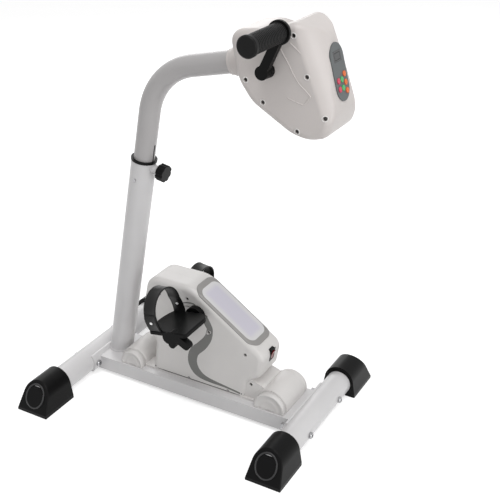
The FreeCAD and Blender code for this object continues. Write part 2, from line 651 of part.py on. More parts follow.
def head_corners():
    return side_corners(HEAD_OUTLINE_SHARES, size.head_depth, size.head_height, head_origin)


def head_moulding(inset):
    """Head of one outline whose front corners sweep back towards the top."""
    if inset > 0:
        solid = inset_moulding(head_corners(), size.head_half_width, size.head_edge, inset)
    else:
        solid = moulding(head_corners(), size.head_half_width, size.head_edge)
    turn = Rotation(X_AXIS, -size.sweep_tilt)
    along = turn.multVec(Z_AXIS)
    outward = turn.multVec(-Y_AXIS)
    radius = size.sweep_radius - inset
    depth = math.sqrt(size.sweep_radius ** 2 - size.sweep_half_width ** 2)
    axis = head_origin + Vector(0, -size.sweep_forward, size.sweep_rise) - outward * depth
    low = axis - along * size.head_height
    back = low - outward * size.head_depth * 2
    section = Part.Wire([
        Part.Arc(low - X_AXIS * radius, low + outward * radius, low + X_AXIS * radius).toShape(),
        Part.LineSegment(low + X_AXIS * radius, back + X_AXIS * radius).toShape(),
        Part.LineSegment(back + X_AXIS * radius, back - X_AXIS * radius).toShape(),
        Part.LineSegment(back - X_AXIS * radius, low - X_AXIS * radius).toShape()])
    solid = solid.common(Part.Face(section).extrude(along * size.head_height * 2))
    creases = []
    for face in solid.Faces:
        if face.Surface.TypeId == "Part::GeomCylinder" and abs(face.Surface.Axis.x) < 0.5 \
                and abs(face.Surface.Radius - radius) < size.fit_gap:
            creases += face.Edges
    return solid.makeFillet(size.sweep_edge - inset, creases)


def console_frame():
    """Middle of the console, its upward direction and its outward direction."""
    high = head_corners()[5][0]
    low = head_corners()[6][0]
    up = (high - low).normalize()
    outward = up.cross(X_AXIS).normalize()
    if outward.y > 0:
        outward = -outward
    return (high + low) / 2 - up * size.console_drop, up, outward


def screw_spots(shares, length, height, origin):
    return [origin + Vector(0, -forward * length, rise * height) for forward, rise in shares]


def shell_half(side, outer, inner, spots, half_width, wall):
    """One half of a housing with its screw bosses; screws enter from the left."""
    shell = outer.cut(inner).common(half_space(side, size.seam_gap / 2))
    outside = Vector(side * half_width, 0, 0)
    for spot in spots:
        boss = disc(size.screw_boss_diameter / 2, half_width - wall / 2 - size.seam_gap / 2,
                    spot + X_AXIS * side * size.seam_gap / 2, X_AXIS * side)
        shell = shell.fuse(boss.common(outer))
    for spot in spots:
        if side < 0:
            recess = disc(size.screw_recess_diameter / 2, size.screw_recess,
                          spot + outside, X_AXIS)
            shank = disc(size.screw_diameter / 2 + size.fit_gap, half_width, spot + outside, X_AXIS)
            shell = shell.cut(recess).cut(shank)
        else:
            pilot = disc(size.screw_diameter / 2 + size.fit_gap, size.screw_length, spot, X_AXIS)
            shell = shell.cut(pilot)
    return shell


def housing_screws(label, spots, half_width, more=()):
    screws = list(more)
    for spot in spots:
        seat = spot - X_AXIS * (half_width - size.screw_recess)
        length = half_width - size.screw_recess + size.screw_length - size.overrun
        shank = disc(size.screw_diameter / 2, length, seat, X_AXIS)
        head = disc(size.screw_head_diameter / 2, size.screw_head, seat, -X_AXIS)
        screws.append(joined([shank, head]))
    keep_shape(label, Part.makeCompound(screws))


def head_shells():
    outer = head_moulding(0)
    inner = head_moulding(size.head_wall)
    spots = screw_spots(HEAD_SCREW_SHARES, size.head_depth, size.head_height, head_origin)
    middle, up, outward = console_frame()
    recess = Part.Face(stadium_wire(size.console_width + size.console_gap * 2,
                                    size.console_length + size.console_gap * 2,
                                    middle - outward * size.console_sink, up, X_AXIS))
    recess = recess.extrude(outward * size.overrun * 2)
    window = Part.Face(stadium_wire(size.console_width - size.console_sheet,
                                    size.console_length - size.console_sheet,
                                    middle - outward * size.overrun * 2, up, X_AXIS))
    window = window.extrude(outward * size.overrun * 4)
    collar_start = head_origin - arm_out * size.collar_back
    tube_end = size.tube_reach - size.collar_at + size.collar_back + size.fit_gap
    mouth = disc(size.tube_diameter / 2 + size.fit_gap, tube_end, collar_start, arm_out).fuse(disc(size.collar_diameter / 2 + size.fit_gap, size.collar_length,
                                    collar_start, arm_out))
    bore = disc(size.arm_boss_diameter / 2 + size.arm_boss_gap, size.head_half_width * 4,
                arm_axis - X_AXIS * size.head_half_width * 2, X_AXIS)
    for name, side in SIDES.items():
        shell = shell_half(side, outer, inner, spots, size.head_half_width, size.head_wall)
        for cutter in (recess, window, mouth, bore):
            shell = shell.cut(cutter)
        keep_shape("head_%s_shell" % name, shell)
    housing_screws("head_screws", spots, size.head_half_width)


def head_collar():
    """Stepped white ring where the bent tube enters the head."""
    bore = "Sizes.tube_diameter / 2 + Sizes.fit_gap"
    turned("head_collar", [
        (bore, "0"), ("Sizes.collar_step_diameter / 2", "0"),
        ("Sizes.collar_step_diameter / 2", "Sizes.collar_step / 2"),
        ("Sizes.collar_diameter / 2", "Sizes.collar_step"),
        ("Sizes.collar_diameter / 2", "Sizes.collar_length"), (bore, "Sizes.collar_length")],
        Placement(head_origin - arm_out * size.collar_back, rise_turn))


def console():
    middle, up, outward = console_frame()
    seat = middle - outward * (size.console_sink - size.fit_gap)
    plate = Part.Face(stadium_wire(size.console_width, size.console_length, seat, up, X_AXIS))
    plate = plate.extrude(outward * size.console_sheet)
    face_level = size.console_sheet - size.console_sink + size.fit_gap
    display_middle = middle + up * size.display_offset
    display = flat_box(display_middle, up, outward, size.display_width, size.display_length,
                       face_level - size.display_sheet, size.display_sheet)
    pocket_box = flat_box(display_middle, up, outward, size.display_width + size.fit_gap * 2,
                          size.display_length + size.fit_gap * 2,
                          face_level - size.display_sheet - size.fit_gap,
                          size.display_sheet + size.overrun)
    plate = plate.cut(pocket_box)
    stem_radius = size.button_diameter / 2
    for name, place in button_places():
        plate = plate.cut(disc(stem_radius + size.button_gap, size.overrun * 2,
                               place - outward * size.overrun, outward))
        start = face_level + size.button_proud - size.button_height
        flange_room = size.button_flange + size.fit_gap
        plate = plate.cut(disc(stem_radius + size.button_flange + size.button_gap, flange_room
                               + size.overrun, place + outward * (start + size.fit_gap
                                                                  - flange_room
                                                                  - size.overrun), outward))
        stem = disc(stem_radius, size.button_height, place + outward * start, outward)
        stem = stem.makeFillet(size.button_gap * 2, [
            edge for edge in stem.Edges
            if (edge.CenterOfMass - place).dot(outward) > start + size.button_height / 2
            and edge.Curve.TypeId == "Part::GeomCircle"])
        flange = disc(stem_radius + size.button_flange, size.button_flange,
                      place + outward * (start - size.button_flange), outward)
        keep_shape(name, joined([stem, flange]))
    for rise in (-1, 1):
        spot = middle + up * rise * (size.console_length - size.board_margin * 4
                                     - size.board_post_diameter) / 2
        plate = plate.fuse(disc(size.board_post_diameter / 2,
                                size.board_drop - size.console_sink + size.fit_gap * 2,
                                spot - outward * (size.board_drop - size.fit_gap), outward))
    keep_shape("console_plate", plate)
    keep_shape("display_window", display)
    board_level = face_level + size.button_proud - size.button_height - size.button_flange
    board(middle, up, outward, board_level - size.button_travel - size.switch_gap)


def flat_box(middle, up, outward, width, length, level, thickness):
    """Box lying on the console: width along X, length up the face, from one level outwards."""
    corner = middle + outward * level
    points = [corner + X_AXIS * (side * width / 2) + up * (rise * length / 2)
              for side, rise in ((-1, -1), (1, -1), (1, 1), (-1, 1), (-1, -1))]
    return Part.Face(Part.makePolygon(points)).extrude(outward * thickness)


def button_places():
    """Seven buttons: two at the left, two in the middle, three at the right."""
    middle, up, outward = console_frame()
    rows = {"left": (0.5, -0.5), "middle": (0.5, -0.5), "right": (1, 0, -1)}
    columns = {"left": -1, "middle": 0, "right": 1}
    places = []
    for column, shares in rows.items():
        for number, row in enumerate(shares, start=1):
            spot = (middle + X_AXIS * columns[column] * size.button_pitch
                    + up * (size.button_offset + row * size.button_row))
            places.append(("%s_button_%d" % (column, number), spot))
    return places


def board(middle, up, outward, switch_level):
    """Control board under the console with one small switch under each button."""
    width = size.console_width - size.board_margin * 2
    length = size.console_length - size.board_margin * 4
    board_top = -size.board_drop
    plate = flat_box(middle, up, outward, width, length, board_top - size.board_sheet,
                     size.board_sheet)
    switches = [flat_box(place, up, outward, size.switch_side, size.switch_side, board_top,
                         switch_level - board_top) for name, place in button_places()]
    keep_shape("control_board", joined([plate] + switches))


# Arm drive inside the head

def arm_bracket():
    """Steel fork on the end of the bent tube: two cheeks that hold the shaft bearings."""
    tube_end = bend_point + arm_out * size.tube_reach
    cheek_in = size.arm_bearing_inset
    seat_radius = size.arm_bearing_diameter / 2 + size.bracket_seat
    cheeks = []
    for side in (-1, 1):
        start = side * cheek_in if side > 0 else -cheek_in - size.bracket_sheet
        loop = pulley_loop(arm_axis, seat_radius, tube_end + arm_out * size.bracket_sheet,
                           size.arm_bearing_diameter / 2)
        cheek = slab(loop, start, size.bracket_sheet)
        seat_start = side * cheek_in if side > 0 else -cheek_in - size.arm_bearing_width
        seat = disc(seat_radius, size.arm_bearing_width, arm_axis + X_AXIS * seat_start, X_AXIS)
        cheeks.append(cheek.fuse(seat))
    half = cheek_in + size.bracket_sheet
    bridge = block(Vector(-half, 0, -size.arm_bearing_diameter / 2),
                   Vector(half, size.bracket_sheet, size.arm_bearing_diameter / 2))
    bridge.Placement = Placement(tube_end + arm_out * (size.bracket_sheet + size.fit_gap),
                                 Rotation(X_AXIS, -size.arm_rise))
    shape = joined(cheeks + [bridge])
    shape = shape.cut(disc(size.arm_bearing_diameter / 2 + size.fit_gap, half * 4,
                           arm_axis - X_AXIS * half * 2, X_AXIS))
    past_tube = disc(size.tube_diameter / 2 + size.fit_gap, size.tube_diameter,
                     tube_end + arm_out * size.fit_gap, -arm_out)
    keep_shape("arm_bracket", shape.cut(past_tube))


def bearings(label, outer, inner, width, inset, axis):
    """Pair of ball bearings, each one ring with a shallow groove on both faces."""
    land = (outer + inner) / 4
    lip = (outer - inner) / 16
    groove = width / 10
    profile = [(inner / 2, 0), (land - lip, 0), (land - lip, groove), (land + lip, groove),
               (land + lip, 0), (outer / 2, 0), (outer / 2, width), (land + lip, width),
               (land + lip, width - groove), (land - lip, width - groove), (land - lip, width),
               (inner / 2, width), (inner / 2, 0)]
    wire = Part.makePolygon([Vector(along, 0, radius) for radius, along in profile])
    rings = []
    for side in SIDES.values():
        ring = Part.Face(wire).revolve(Vector(0, 0, 0), X_AXIS, 360)
        start = inset if side > 0 else -inset - width
        ring.Placement = Placement(axis + X_AXIS * start, Rotation())
        rings.append(ring)
    keep_shape(label, Part.makeCompound(rings))


def arm_drive():
    bearings("arm_bearings", size.arm_bearing_diameter, size.shaft_diameter,
             size.arm_bearing_width, size.arm_bearing_inset, arm_axis)
    tube("arm_shaft", "Sizes.shaft_diameter - 2 * Sizes.shaft_gap", None,
         "2 * (Sizes.arm_crank_in + Sizes.arm_crank_thick / 2)", Placement(arm_axis, ALONG_X), True)
    teeth = int(size.worm_wheel_teeth)
    tip = size.worm_wheel_diameter / 2
    root = tip - size.worm_tooth
    points = []
    for tooth in range(teeth):
        for share, radius in ((0, root), (0.25, root), (0.4, tip), (0.75, tip), (0.9, root)):
            if share == 0:
                continue
            angle = 2 * math.pi * (tooth + share) / teeth
            points.append(Vector(0, math.cos(angle) * radius, math.sin(angle) * radius))
    points.append(points[0])
    wheel = slab(Part.makePolygon(points), -size.worm_wheel_width / 2, size.worm_wheel_width)
    wheel = wheel.cut(disc(size.shaft_diameter / 2, size.worm_wheel_width * 2,
                           -X_AXIS * size.worm_wheel_width, X_AXIS))
    keep_shape("worm_wheel", wheel, Placement(arm_axis, Rotation()))
    drop = tip + size.worm_gap + size.worm_diameter / 2
    worm_axis = arm_axis - Z_AXIS * drop
    thread = (size.worm_diameter / 2 - size.worm_tooth / 2)
    worm = disc(thread, size.worm_length, worm_axis + Y_AXIS * size.worm_length / 2, -Y_AXIS)
    pitch = math.pi * size.worm_wheel_diameter / teeth
    turns = int(size.worm_length / pitch)
    for turn in range(turns):
        at = size.worm_length / 2 - pitch * (turn + 0.5)
        ridge = Part.makeCone(thread, size.worm_diameter / 2, pitch / 4,
                              worm_axis + Y_AXIS * (at + pitch / 4), -Y_AXIS)
        fall = Part.makeCone(size.worm_diameter / 2, thread, pitch / 4, worm_axis + Y_AXIS * at,
                             -Y_AXIS)
        worm = worm.fuse([ridge, fall])
    stub = disc(size.worm_shaft_diameter / 2, size.arm_motor_nose + size.worm_length,
                worm_axis + Y_AXIS * size.worm_length / 2, -Y_AXIS)
    keep_shape("worm", joined([worm, stub]))
    face = worm_axis - Y_AXIS * (size.worm_length / 2 + size.worm_gap)
    nose_start = face
    nose = disc(size.arm_motor_diameter / 3.5, size.arm_motor_nose, nose_start, -Y_AXIS)
    can = disc(size.arm_motor_diameter / 2, size.arm_motor_length,
               nose_start - Y_AXIS * size.arm_motor_nose, -Y_AXIS)
    hole = disc(size.worm_shaft_diameter / 2 + size.fit_gap, size.arm_motor_nose + size.worm_gap,
                nose_start, -Y_AXIS)
    keep_shape("arm_motor", joined([nose, can]).cut(hole))
    return worm_axis


# Arm cranks and grips

def crank_direction(angle):
    """Unit vector of a crank that points towards the user and up by an angle."""
    return Vector(0, -math.cos(math.radians(angle)), math.sin(math.radians(angle)))


def link(length, thick, hub, end, waist, bore, direction, side):
    """Crank arm: two round ends joined by a narrower bar, drilled for the shaft."""
    start = Vector(0, 0, 0)
    outward = X_AXIS * side
    bar_low = X_AXIS.cross(direction).normalize() * waist / 2
    points = [bar_low, bar_low + direction * length, -bar_low + direction * length, -bar_low,
              bar_low]
    bar = Part.Face(Part.makePolygon(points)).extrude(outward * thick)
    shape = joined([disc(hub / 2, thick, start, outward),
                    disc(end / 2, thick, direction * length, outward), bar])
    corners = [edge for edge in shape.Edges if edge.BoundBox.XLength > thick - size.fit_gap
               and waist / 2 - size.fit_gap < abs(edge.CenterOfMass.dot(bar_low) * 2 / waist)
               < waist / 2 + size.fit_gap and edge.Curve.TypeId == "Part::GeomLine"
               and edge.CenterOfMass.dot(direction) > hub / 4]
    if corners:
        shape = shape.makeFillet(waist / 4, corners)
    return shape.cut(disc(bore / 2, thick / 2, start, outward))


def arm_crank(name, side):
    direction = crank_direction(size.arm_crank_angle) * -side
    shape = link(size.arm_crank_radius, size.arm_crank_thick, size.arm_crank_hub,
                 size.arm_crank_end, size.arm_crank_waist, size.shaft_diameter, direction, side)
    boss_length = size.arm_crank_in - size.arm_bearing_inset - size.arm_bearing_width \
        - size.bracket_sheet
    boss = disc(size.arm_boss_diameter / 2, boss_length, Vector(0, 0, 0), -X_AXIS * side)
    boss = boss.cut(disc(size.shaft_diameter / 2, boss_length, Vector(0, 0, 0), -X_AXIS * side))
    pin_length = size.arm_crank_thick + size.grip_gap + size.grip_length - size.grip_end
    pin = disc(size.spindle_diameter / 2, pin_length, direction * size.arm_crank_radius,
               X_AXIS * side)
    spot = arm_axis + X_AXIS * side * size.arm_crank_in
    keep_shape("%s_arm_crank" % name, joined([shape, boss, pin]), Placement(spot, Rotation()))
    start = spot + direction * size.arm_crank_radius \
        + X_AXIS * side * (size.arm_crank_thick + size.grip_gap)
    grip(name, Placement(start, ALONG_X if side > 0 else ALONG_MINUS_X))


def grip(name, placement):
    """Rubber handle: inner flange, ribbed barrel, domed end."""
    outer = size.grip_diameter / 2
    barrel = size.grip_length - size.grip_flange - size.grip_end
    pitch = barrel / size.grip_ribs
    bore = size.spindle_diameter / 2 + size.spindle_gap
    inside = size.grip_length - size.grip_end + size.spindle_gap
    profile = [(bore, 0), (size.grip_flange_diameter / 2, 0),
               (size.grip_flange_diameter / 2, size.grip_flange)]
    for rib in range(int(size.grip_ribs)):
        start = size.grip_flange + pitch * rib
        profile += [(outer - size.grip_rib_depth, start),
                    (outer - size.grip_rib_depth, start + pitch / 3),
                    (outer, start + pitch / 2), (outer, start + pitch * 5 / 6)]
    cap = size.grip_length - size.grip_end
    profile += [(size.grip_end_diameter / 2, cap),
                (size.grip_end_diameter / 2, size.grip_length - size.grip_end / 4),
                (size.grip_end_diameter / 2 - size.grip_end / 4, size.grip_length),
                (0, size.grip_length), (0, inside), (bore, inside), (bore, 0)]
    wire = Part.makePolygon([Vector(radius, 0, height) for radius, height in profile])
    shape = Part.Face(wire).revolve(Vector(0, 0, 0), Z_AXIS, 360)
    keep_shape("%s_grip" % name, shape, placement)


# Lower unit housing

# Corners of the lower shell's side view, from the middle of the tray: towards the user, up, rounding
UNIT_OUTLINE_SHARES = [
    (-0.365, -0.12, 0.0), (-0.321, 0.295, 0.12), (-0.43, 0.58, 0.25), (-0.362, 1.0, 0.15),
    (0.004, 1.0, 0.286), (0.568, 0.484, 0.105), (0.536, 0.257, 0.086), (0.436, 0.162, 0.08),
    (0.41, -0.12, 0.0)]
UNIT_SCREW_SHARES = [(-0.264, 0.843), (-0.032, 0.876), (0.136, 0.586), (0.425, 0.465)]
# Riser of the tray under the nose: towards the user, up, rounding
NECK_OUTLINE_SHARES = [
    (0.40, -0.019, 0.0), (0.40, 0.165, 0.02), (0.44, 0.21, 0.03), (0.56, 0.165, 0.04),
    (0.62, -0.019, 0.0)]
NECK_SCREW_SHARE = (0.462, 0.15)


def unit_corners():
    return side_corners(UNIT_OUTLINE_SHARES, size.unit_length, size.unit_height, unit_origin)


def top_frame():
    """Low end of the sloping top, its upward direction and its outward direction."""
    high = unit_corners()[4][0]
    low = unit_corners()[5][0]
    up = (high - low).normalize()
    outward = Rotation(X_AXIS, -90).multVec(up)
    if outward.z < 0:
        outward = -outward
    return low, up, outward


def nose_frame():
    """Middle of the nose face, its upward direction and its outward direction."""
    high = unit_corners()[5][0]
    low = unit_corners()[6][0]
    up = (high - low).normalize()
    outward = Rotation(X_AXIS, 90).multVec(up)
    if outward.y > 0:
        outward = -outward
    rise = (size.switch_level - (low.z - unit_origin.z)) / up.z
    return low + up * rise, up, outward


def tray():
    """Base moulding: flat tray, two round humps across it and a riser under the nose."""
    half = size.tray_half_width
    floor = size.deck_height + size.fit_gap
    humps = ((-size.front_hump, size.front_hump_diameter / 2),
             (size.rear_hump, size.rear_hump_diameter / 2))
    plate = block(Vector(-half, -size.front_hump, floor),
                  Vector(half, size.rear_hump, unit_origin.z))
    above = block(Vector(-half * 2, -size.beam_spacing, floor),
                  Vector(half * 2, size.beam_spacing, size.beam_spacing))
    shapes = [plate]
    for y_place, radius in humps:
        axis = Vector(-half, y_place, size.deck_height + size.hump_rise)
        shapes.append(disc(radius, half * 2, axis, X_AXIS).common(above))
    neck = slab(rounded_wire(side_corners(NECK_OUTLINE_SHARES, size.unit_length,
                                          size.unit_height, unit_origin)),
                -size.neck_half_width, size.neck_half_width * 2)
    unit = moulding(unit_corners(), size.unit_half_width + size.fit_gap, size.unit_edge)
    shapes.append(neck.cut(unit))
    shape = joined(shapes)
    for y_place, radius in humps:
        for side in (-1, 1):
            face = Vector(side * half, y_place, size.deck_height + size.hump_rise)
            well = disc(radius - size.disc_rim, size.disc_inset, face, -X_AXIS * side)
            shape = shape.cut(well.common(above))
    spot = screw_spots([NECK_SCREW_SHARE], size.unit_length, size.unit_height, unit_origin)[0]
    recess = disc(size.screw_recess_diameter / 2, size.screw_recess,
                  spot - X_AXIS * size.neck_half_width, X_AXIS)
    keep_shape("base_tray", shape.cut(recess))
    return disc(size.screw_head_diameter / 2, size.screw_head,
                spot - X_AXIS * (size.neck_half_width - size.screw_recess), -X_AXIS)


def unit_shells(tray_screw):
    corners = unit_corners()
    outer = moulding(corners, size.unit_half_width, size.unit_edge)
    inner = inset_moulding(corners, size.unit_half_width, size.unit_edge, size.unit_wall)
    below = block(Vector(-size.beam_spacing, -size.beam_spacing, -size.beam_spacing),
                  Vector(size.beam_spacing, size.beam_spacing, unit_origin.z + size.fit_gap))
    outer = outer.cut(below)
    spots = screw_spots(UNIT_SCREW_SHARES, size.unit_length, size.unit_height, unit_origin)
    middle, up, outward = nose_frame()
    switch_hole = flat_box(middle, up, outward,
                           size.bezel_width - size.bezel_flange * 2 + size.fit_gap * 2,
                           size.bezel_height - size.bezel_flange * 2 + size.fit_gap * 2,
                           -size.bezel_depth, size.bezel_depth * 2)
    inlet_spot = unit_origin + Vector(0, -size.inlet_forward, size.inlet_level)
    inlet_hole = block(
        inlet_spot - Vector(0, size.inlet_length / 2 - size.inlet_flange + size.fit_gap,
                            size.inlet_height / 2 - size.inlet_flange + size.fit_gap),
        inlet_spot + Vector(size.unit_half_width * 2,
                            size.inlet_length / 2 - size.inlet_flange + size.fit_gap,
                            size.inlet_height / 2 - size.inlet_flange + size.fit_gap))
    shaft_hole = disc(size.leg_shaft_diameter / 2 + size.arm_boss_gap, size.unit_half_width * 4,
                      crank_axis - X_AXIS * size.unit_half_width * 2, X_AXIS)
    for name, side in SIDES.items():
        shell = shell_half(side, outer, inner, spots, size.unit_half_width, size.unit_wall)
        shell = shell.cut(switch_hole).cut(shaft_hole)
        if side > 0:
            shell = shell.cut(inlet_hole)
        keep_shape("unit_%s_shell" % name, shell)
    housing_screws("unit_screws", spots, size.unit_half_width, [tray_screw])
    power_inlet(inlet_spot + X_AXIS * size.unit_half_width)


def power_inlet(spot):
    """Two-pin appliance inlet: flange on the wall, open socket inside."""
    half_length = size.inlet_length / 2
    half_height = size.inlet_height / 2
    flange = block(spot + Vector(size.fit_gap, -half_length, -half_height),
                   spot + Vector(size.inlet_flange + size.fit_gap, half_length, half_height))
    lip = size.inlet_flange
    body = block(spot + Vector(-size.inlet_depth, lip - half_length, lip - half_height),
                 spot + Vector(size.fit_gap, half_length - lip, half_height - lip))
    rim = size.inlet_flange + size.inlet_wall
    well = block(spot + Vector(size.inlet_wall - size.inlet_depth, rim - half_length,
                               rim - half_height),
                 spot + Vector(size.inlet_depth, half_length - rim, half_height - rim))
    pins = [disc(size.inlet_wall / 2, size.inlet_depth - size.inlet_wall * 3,
                 spot + Vector(size.inlet_wall - size.inlet_depth,
                               side * size.inlet_length / 8, 0), X_AXIS) for side in (-1, 1)]
    keep_shape("power_inlet", joined([flange.fuse(body).cut(well)] + pins))


def top_panel():
    """Panel that follows the rounded sloping top: a raised border round a thinner plate."""
    low, up, outward = top_frame()
    middle = low + up * (size.panel_low + size.panel_length / 2)

    def oblong(width, length, radius):
        centre = middle - outward * size.unit_edge * 2
        spots = [centre + X_AXIS * (side * width / 2) + up * (rise * length / 2)
                 for side, rise in ((-1, -1), (1, -1), (1, 1), (-1, 1))]
        wire = rounded_wire([(spot, radius) for spot in spots])
        return Part.Face(wire).extrude(outward * size.unit_edge * 4)

    def grown(amount):
        return inset_moulding(unit_corners(), size.unit_half_width, size.unit_edge, -amount)

    whole = oblong(size.panel_width, size.panel_length, size.panel_radius)
    whole = whole.common(grown(size.panel_sheet)).cut(grown(size.fit_gap))
    well = oblong(size.panel_width - size.panel_border * 2,
                  size.panel_length - size.panel_border * 2,
                  size.panel_radius - size.panel_border).cut(grown(size.plate_sheet))
    keep_shape("top_panel", whole.cut(well))


def power_switch():
    """Bezel set in the nose and the rocker that tips in it about a cross pin."""
    middle, up, outward = nose_frame()
    lip = size.bezel_flange
    flange = flat_box(middle, up, outward, size.bezel_width, size.bezel_height, size.fit_gap, lip)
    body = flat_box(middle, up, outward, size.bezel_width - lip * 2, size.bezel_height - lip * 2,
                    -size.bezel_depth, size.bezel_depth + size.fit_gap)
    wall = lip + size.bezel_wall
    well = flat_box(middle, up, outward, size.bezel_width - wall * 2,
                    size.bezel_height - wall * 2, -size.bezel_depth + size.bezel_wall,
                    size.bezel_depth * 2)
    pivot = middle - outward * size.rocker_depth / 2
    bearing_span = size.bezel_width - wall * 2 + size.bezel_wall + size.fit_gap * 2
    sockets = disc(size.rocker_pin_diameter / 2 + size.fit_gap, bearing_span,
                   pivot - X_AXIS * bearing_span / 2, X_AXIS)
    keep_shape("switch_bezel", flange.fuse(body).cut(well).cut(sockets).removeSplitter())
    width = size.bezel_width - wall * 2 - size.rocker_gap * 2
    reach = (size.bezel_height - wall * 2) / 2 - size.rocker_gap * 3
    crown = lip + size.rocker_proud
    level = size.rocker_depth / 2 + size.fit_gap
    lean = math.tan(math.radians(size.rocker_angle)) * reach
    points = [pivot + outward * (level + crown - lean) + up * reach,
              pivot + outward * (level + lip),
              pivot + outward * (level + crown - lean) - up * reach,
              pivot - outward * size.rocker_pin_diameter - up * reach / 2,
              pivot - outward * size.rocker_pin_diameter + up * reach / 2]
    points.append(points[0])
    rocker = Part.Face(Part.makePolygon(points))
    rocker.translate(-X_AXIS * width / 2)
    rocker = rocker.extrude(X_AXIS * width)
    span = size.bezel_width - wall * 2 + size.bezel_wall
    trunnion = disc(size.rocker_pin_diameter / 2, span, pivot - X_AXIS * span / 2, X_AXIS)
    rocker = joined([rocker, trunnion])
    rocker.rotate(pivot, X_AXIS, size.rocker_angle)
    keep_shape("switch_rocker", rocker)


# Leg drive inside the lower unit

def leg_drive():
    motor = Vector(0, -size.leg_motor_share * size.unit_length, size.leg_motor_height)
    tube("leg_shaft", "Sizes.leg_shaft_diameter - 2 * Sizes.shaft_gap", None,
         "2 * (Sizes.leg_crank_in + Sizes.leg_crank_thick / 2)",
         Placement(crank_axis, ALONG_X), True)
    bearings("leg_bearings", size.leg_bearing_diameter, size.leg_shaft_diameter,
             size.leg_bearing_width, size.leg_bearing_inset, crank_axis)
    drive_frame(motor)
    crank_pulley()
    motor_pulley(motor)
    big = size.pulley_diameter / 2 + size.belt_gap
    small = size.motor_pulley_diameter / 2 + size.belt_gap
    start = size.pulley_at - size.pulley_width / 2 + size.pulley_flange + size.belt_gap
    width = size.pulley_width - size.pulley_flange * 2 - size.belt_gap * 2
    inside = slab(pulley_loop(crank_axis, big, motor, small), start, width)
    outside = slab(pulley_loop(crank_axis, big + size.belt_sheet, motor, small + size.belt_sheet),
                   start, width)
    keep_shape("drive_belt", outside.cut(inside))
    keep_shape("leg_motor", disc(size.leg_motor_diameter / 2, size.leg_motor_length,
                                 motor + X_AXIS * size.leg_motor_at, X_AXIS))
    supply = Vector(0, -size.supply_share * size.unit_length,
                    unit_origin.z + size.frame_sheet + size.fit_gap * 2)
    half = Vector(size.supply_width / 2, size.supply_length_share * size.unit_length / 2, 0)
    keep_shape("power_supply", block(supply - half, supply + half + Z_AXIS * size.supply_height))


def drive_frame(motor):
    """Welded steel frame: floor plate, two bearing plates and the motor plate."""
    base = unit_origin.z + size.fit_gap
    rim = size.leg_bearing_diameter / 2 + size.leg_bracket_rim
    foot = size.leg_bracket_foot + rim
    half = size.leg_bearing_inset + size.leg_bearing_width / 2 + size.frame_sheet / 2
    plate = size.motor_plate_share * size.unit_length / 2
    shapes = [block(Vector(-half, motor.y - plate + size.frame_sheet * 3, base),
                    Vector(half, crank_axis.y + foot, base + size.frame_sheet))]
    for side in SIDES.values():
        start = side * (size.leg_bearing_inset + size.leg_bearing_width / 2) \
            - size.frame_sheet / 2
        wire = Part.makePolygon([
            Vector(0, crank_axis.y - foot, base), Vector(0, crank_axis.y + foot, base),
            Vector(0, crank_axis.y + rim, crank_axis.z),
            Vector(0, crank_axis.y - rim, crank_axis.z), Vector(0, crank_axis.y - foot, base)])
        shapes.append(slab(wire, start, size.frame_sheet))
        low = size.leg_bearing_inset if side > 0 else \
            -size.leg_bearing_inset - size.leg_bearing_width
        shapes.append(disc(rim, size.leg_bearing_width, crank_axis + X_AXIS * low, X_AXIS))
    face = size.leg_motor_at + size.leg_motor_length + size.fit_gap
    shapes.append(block(
        Vector(face, motor.y - plate + size.frame_sheet * 3, base),
        Vector(face + size.frame_sheet, motor.y + plate, motor.z + size.motor_pulley_diameter)))
    shape = joined(shapes)
    bore = disc(size.leg_bearing_diameter / 2 + size.fit_gap, size.unit_half_width * 2,
                crank_axis - X_AXIS * size.unit_half_width, X_AXIS)
    passage = disc(size.motor_shaft_diameter, size.unit_half_width, motor, X_AXIS)
    supply_middle = -size.supply_share * size.unit_length
    supply_half = size.supply_length_share * size.unit_length / 2 + size.fit_gap
    supply_space = block(
        Vector(-half, supply_middle - supply_half, base + size.frame_sheet),
        Vector(half, supply_middle + supply_half,
               base + size.frame_sheet + size.supply_height + size.fit_gap * 2))
    keep_shape("drive_frame", shape.cut(bore).cut(passage).cut(supply_space))


def crank_pulley():
    """Big pulley on the crank shaft: hub, thin web and flanged rim."""
    half = "Sizes.pulley_width / 2"
    web = "Sizes.pulley_web / 2"
    rim = "Sizes.pulley_diameter / 2"
    edge = rim + " + Sizes.belt_sheet"
    inside = rim + " - Sizes.pulley_web"
    hub = "Sizes.pulley_hub_diameter / 2"
    bore = "Sizes.leg_shaft_diameter / 2"
    inner_rim = half + " - Sizes.pulley_flange"
    turned("crank_pulley", [
        (bore, "-" + half), (hub, "-" + half), (hub, "-" + web), (inside, "-" + web),
        (inside, "-" + half), (edge, "-" + half), (edge, "-(%s)" % inner_rim),
        (rim, "-(%s)" % inner_rim), (rim, inner_rim), (edge, inner_rim), (edge, half),
        (inside, half), (inside, web), (hub, web), (hub, half), (bore, half)],
        Placement(crank_axis + X_AXIS * size.pulley_at, ALONG_X))


def motor_pulley(motor):
    """Small flanged pulley with the motor's output shaft."""
    half = "Sizes.pulley_width / 2"
    rim = "Sizes.motor_pulley_diameter / 2"
    edge = rim + " + Sizes.belt_sheet"
    stub = "Sizes.motor_shaft_diameter / 2"
    inner_rim = half + " - Sizes.pulley_flange"
    motor_face = "(Sizes.leg_motor_at + Sizes.leg_motor_length + Sizes.fit_gap - Sizes.pulley_at)"
    turned("motor_pulley", [
        ("0", motor_face), (stub, motor_face), (stub, "-" + half), (edge, "-" + half),
        (edge, "-(%s)" % inner_rim), (rim, "-(%s)" % inner_rim), (rim, inner_rim),
        (edge, inner_rim), (edge, half), ("0", half)],
        Placement(motor + X_AXIS * size.pulley_at, ALONG_X))


# Leg cranks, pedals and straps

